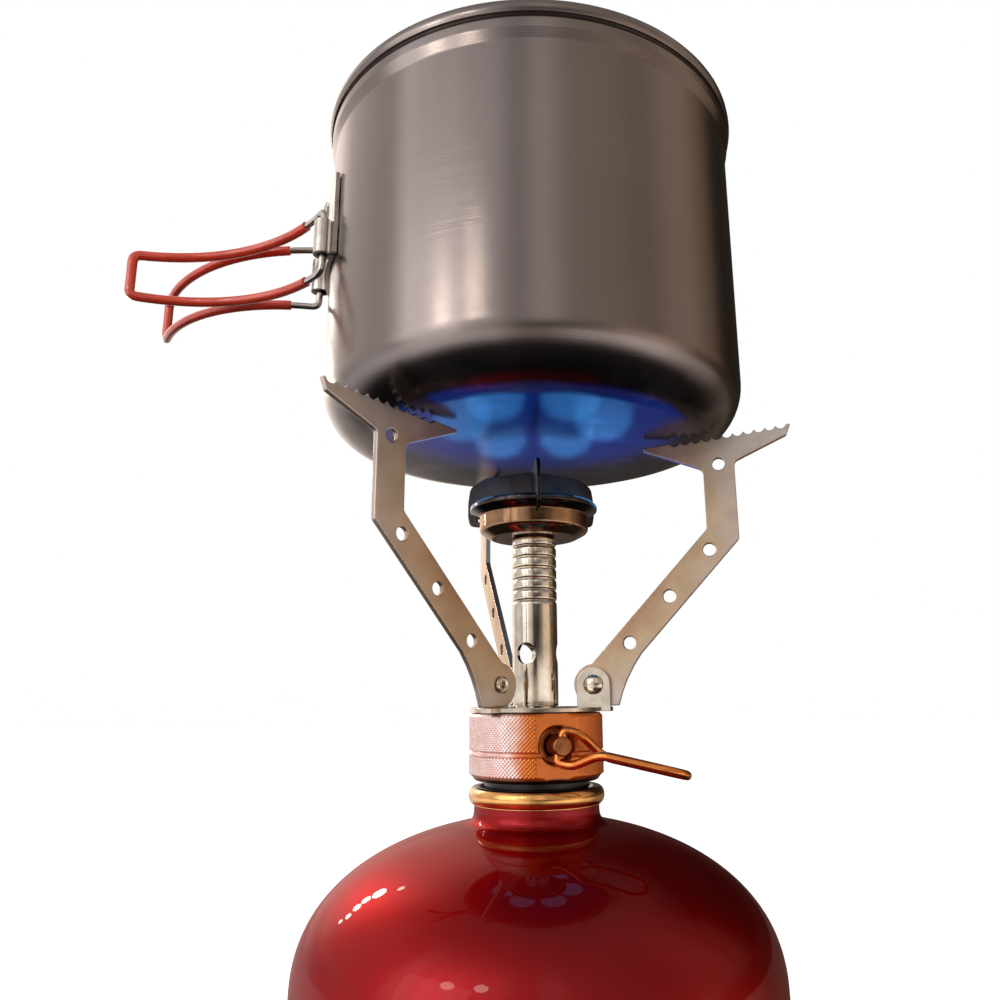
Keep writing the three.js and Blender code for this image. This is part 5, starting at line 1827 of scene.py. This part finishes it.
class STOVE_OT_stage(StoveOperator, bpy.types.Operator):
    """Makes the pale floor, the soft lights, the surroundings and the camera"""

    bl_idname = "stove.stage"
    bl_label = "Stage"

    def make(self, scene):
        self.floor()
        self.surroundings(scene)
        self.lights()
        self.camera(scene)
        scene.view_settings.view_transform = "Standard"

    def floor(self):
        half = 3.0
        floor = mesh_object(
            "floor", [(-half, -half, 0), (half, -half, 0), (half, half, 0), (-half, half, 0)], [(0, 1, 2, 3)]
        )
        material, graph, shader = new_material("pale_floor", Roughness=0.9, Emission_Strength=0.78)
        pale = group(
            graph, "Uneven finish", Colour=(0.84, 0.84, 0.84, 1), Second_Colour=(0.80, 0.80, 0.80, 1),
            Roughness=0.9, Spread=0.05, Scale=2.0,
        )
        link(graph, pale["Colour"], shader["Base Color"])
        link(graph, pale["Colour"], shader["Emission Color"])
        floor.data.materials.append(material)
        floor.visible_glossy = False
        floor.visible_diffuse = False

    def surroundings(self, scene):
        """A white backdrop for the eye and a studio for the surfaces, bright on the left and dim on the right."""
        world = bpy.data.worlds.new("studio")
        scene.world = world
        world.use_nodes = True
        graph = Graph(world.node_tree)
        world.node_tree.nodes.clear()
        x, y, z = graph.axes(graph.node("ShaderNodeTexCoord").outputs["Generated"])[:3]
        bearing = graph.math("ARCTAN2", graph.math("MULTIPLY", x, -1.0), graph.math("MULTIPLY", y, -1.0))
        share = graph.math("ADD", graph.math("DIVIDE", bearing, ROUND), 0.5)
        level = self.walls(graph, share, self.LEVEL)
        raised = self.walls(graph, share, self.RAISED)
        room = graph.mix(graph.between(z, 0.10, 0.22), level, raised)
        room = graph.mix(graph.between(z, -0.02, -0.06), room, self.walls(graph, share, self.LOWERED))
        room = graph.mix(graph.between(z, 0.62, 0.95), room, (0.20, 0.19, 0.18, 1))
        room = graph.mix(graph.between(z, -0.22, -0.52), room, (0.012, 0.012, 0.013, 1))
        eye = graph.node("ShaderNodeLightPath").outputs["Is Camera Ray"]
        shown = graph.mix(eye, room, (0.5, 0.5, 0.5, 1))
        light = graph.node("ShaderNodeBackground", {"Color": shown, "Strength": 2.0})
        end = graph.node("ShaderNodeOutputWorld")
        graph.tree.links.new(light.outputs[0], end.inputs[0])

    # Degrees from the front towards the left, brightness, and warmth from 0 to 1.
    LEVEL = (
        (-180, 0.10, 0.4), (-150, 0.05, 0.8), (-112, 0.08, 0.8), (-92, 0.25, 0.8), (-72, 1.00, 0.62),
        (-50, 0.85, 0.55), (-32, 0.25, 0.5), (-18, 0.04, 0.5), (4, 0.04, 0.4), (13, 0.55, 0.2), (20, 0.7, 0.05),
        (24, 0.95, 0.05), (33, 0.95, 0.05), (40, 0.75, 0.0), (62, 0.55, 0.0), (88, 0.85, 0.0), (115, 0.7, 0.1),
        (150, 1.5, 0.3), (172, 0.9, 0.4), (180, 0.10, 0.4),
    )
    RAISED = (
        (-180, 0.15, 0.4), (-160, 0.03, 0.6), (-122, 0.02, 0.6), (-106, 0.34, 0.8), (-90, 0.60, 0.6),
        (-78, 0.55, 0.5), (-62, 0.38, 0.5), (-44, 0.50, 0.45), (-27, 0.54, 0.4), (-17, 0.56, 0.25),
        (-10, 0.90, 0.1), (-3, 0.90, 0.1), (3, 0.52, 0.1), (10, 0.52, 0.1), (17, 0.95, 0.0), (27, 1.00, 0.0),
        (38, 1.05, 0.0), (42, 1.35, 0.0), (50, 1.05, 0.0), (55, 1.45, 0.0), (61, 1.10, 0.0), (66, 1.60, 0.0),
        (72, 1.55, 0.0), (78, 0.80, 0.1), (90, 0.80, 0.1), (105, 0.95, 0.1), (118, 1.0, 0.2), (135, 1.8, 0.3),
        (165, 1.4, 0.35), (180, 0.15, 0.4),
    )
    LOWERED = (
        (-180, 0.10, 0.4), (-120, 0.30, 0.6), (-96, 0.90, 0.3), (-60, 1.50, 0.15), (-26, 1.20, 0.15),
        (-6, 0.55, 0.3), (6, 0.55, 0.3), (20, 1.20, 0.1), (46, 1.50, 0.0), (110, 1.20, 0.0), (160, 0.8, 0.3),
        (180, 0.10, 0.4),
    )
    # Where the small lamps stand round the stem, their radius and their brightness.
    LAMPS = (
        ((-0.366, 0.240, 0.224), 8 * MM, 24), ((-0.354, 0.236, 0.250), 11 * MM, 28),
        ((-0.330, 0.248, 0.271), 14 * MM, 30), ((-0.307, 0.258, 0.288), 14 * MM, 32),
        ((-0.283, 0.258, 0.314), 19 * MM, 36), ((-0.249, 0.240, 0.358), 9 * MM, 18),
        ((-0.277, -0.300, 0.330), 24 * MM, 9), ((-0.179, -0.356, 0.346), 24 * MM, 10),
    )

    def walls(self, graph, share, bands):
        """Light by bearing, at half its brightness."""
        ramp = graph.node("ShaderNodeValToRGB", {0: share})
        ramp.color_ramp.interpolation = "EASE"
        stops = ramp.color_ramp.elements
        while len(stops) < len(bands):
            stops.new(0.5)
        for stop, (bearing, bright, warm) in zip(stops, bands):
            cool, hot = Vector((1.0, 0.97, 0.98)), Vector((1.0, 0.66, 0.36))
            stop.position = bearing / 360 + 0.5
            stop.color = (*(cool.lerp(hot, warm) * bright / 2), 1)
        return ramp.outputs[0]

    def lights(self):
        """A weak softbox from the left that gives the shadows a direction, and the burner's blue glow."""
        away = Vector((-0.72, -0.62, 0.32)).normalized()
        soft_box, made = self.light("key", "AREA", STEM + 0.1 * UP + 0.9 * away, 0.8, (1.0, 0.97, 0.95))
        soft_box.shape, soft_box.size, soft_box.size_y = "RECTANGLE", 0.5, 0.5
        made.rotation_euler = away.to_track_quat("Z", "Y").to_euler()
        for place, radius, bright in self.LAMPS:
            energy = bright * (ROUND * radius) ** 2
            lamp, _ = self.light("lamp", "POINT", STEM + Vector(place), energy, (1.0, 0.93, 0.82))
            lamp.shadow_soft_size = radius
        for i in range(6):
            place = at_bearing(ROUND * i / 6, 19 * MM, bottom("pot_body") - 10 * MM).translation
            jet, _ = self.light("jet", "POINT", place, 0.003, (0.08, 0.45, 1.0))
            jet.shadow_soft_size = 8 * MM
        for wide, watts, shade in ((84 * MM, 0.013, (0.01, 0.10, 1.0)), (40 * MM, 0.008, (0.03, 0.45, 1.0))):
            above = STEM + (top("wind_clip") - 2 * MM) * UP
            glow, made = self.light("burner_glow", "AREA", above, watts, shade)
            glow.shape, glow.size = "DISK", wide
            made.rotation_euler = (math.pi, 0, 0)

    def light(self, name, kind, place, energy, shade):
        light = bpy.data.lights.new(name, kind)
        light.energy, light.color = energy, shade
        made = bpy.data.objects.new(name, light)
        bpy.context.scene.collection.objects.link(made)
        made.location = place
        return light, made

    def camera(self, scene):
        eye = bpy.data.cameras.new("camera")
        eye.sensor_width, eye.lens = 36, 29.606
        eye.shift_x = -0.0335
        eye.clip_start = 0.01
        made = bpy.data.objects.new("camera", eye)
        scene.collection.objects.link(made)
        made.location = STEM + Vector((0, -207.5 * MM, 111.3 * MM))
        pitch, roll = math.radians(90 + 13.3), math.radians(-0.6)
        made.rotation_euler = (Matrix.Rotation(pitch, 3, "X") @ Matrix.Rotation(roll, 3, "Z")).to_euler()
        scene.camera = made


class STOVE_PT_panel(bpy.types.Panel):
    """Lists the stove's pieces and sizes"""

    bl_idname = "STOVE_PT_panel"
    bl_label = "Camping Stove"
    bl_space_type = "VIEW_3D"
    bl_region_type = "UI"
    bl_category = "Stove"

    def draw(self, context):
        for operator in OPERATORS:
            self.layout.operator(operator.bl_idname)
        for name in GROUPS:
            settings = getattr(context.scene, name)
            box = self.layout.box()
            for key in settings.bl_rna.properties.keys():
                if key not in ("rna_type", "name"):
                    box.prop(settings, key)


GROUPS = {
    "stove_cartridge": StoveCartridge,
    "stove_valve": StoveValve,
    "stove_arms": StoveArms,
    "stove_burner": StoveBurner,
    "stove_pot": StovePot,
    "stove_colours": StoveColours,
}
OPERATORS = (
    STOVE_OT_stage,
    STOVE_OT_cartridge,
    STOVE_OT_valve_body,
    STOVE_OT_valve,
    STOVE_OT_arms,
    STOVE_OT_burner,
    STOVE_OT_pot,
    STOVE_OT_pot_bracket,
    STOVE_OT_pot_handles,
    STOVE_OT_inner_pieces,
)


def register():
    for made in (*GROUPS.values(), *OPERATORS, STOVE_PT_panel):
        bpy.utils.register_class(made)
    for name, kind in GROUPS.items():
        setattr(bpy.types.Scene, name, PointerProperty(type=kind))


def unregister():
    for name in GROUPS:
        delattr(bpy.types.Scene, name)
    for made in reversed((*GROUPS.values(), *OPERATORS, STOVE_PT_panel)):
        bpy.utils.unregister_class(made)


def main():
    register()
    for operator in OPERATORS:
        getattr(bpy.ops.stove, operator.bl_idname.split(".")[1])()


if __name__ == "__main__":
    main()
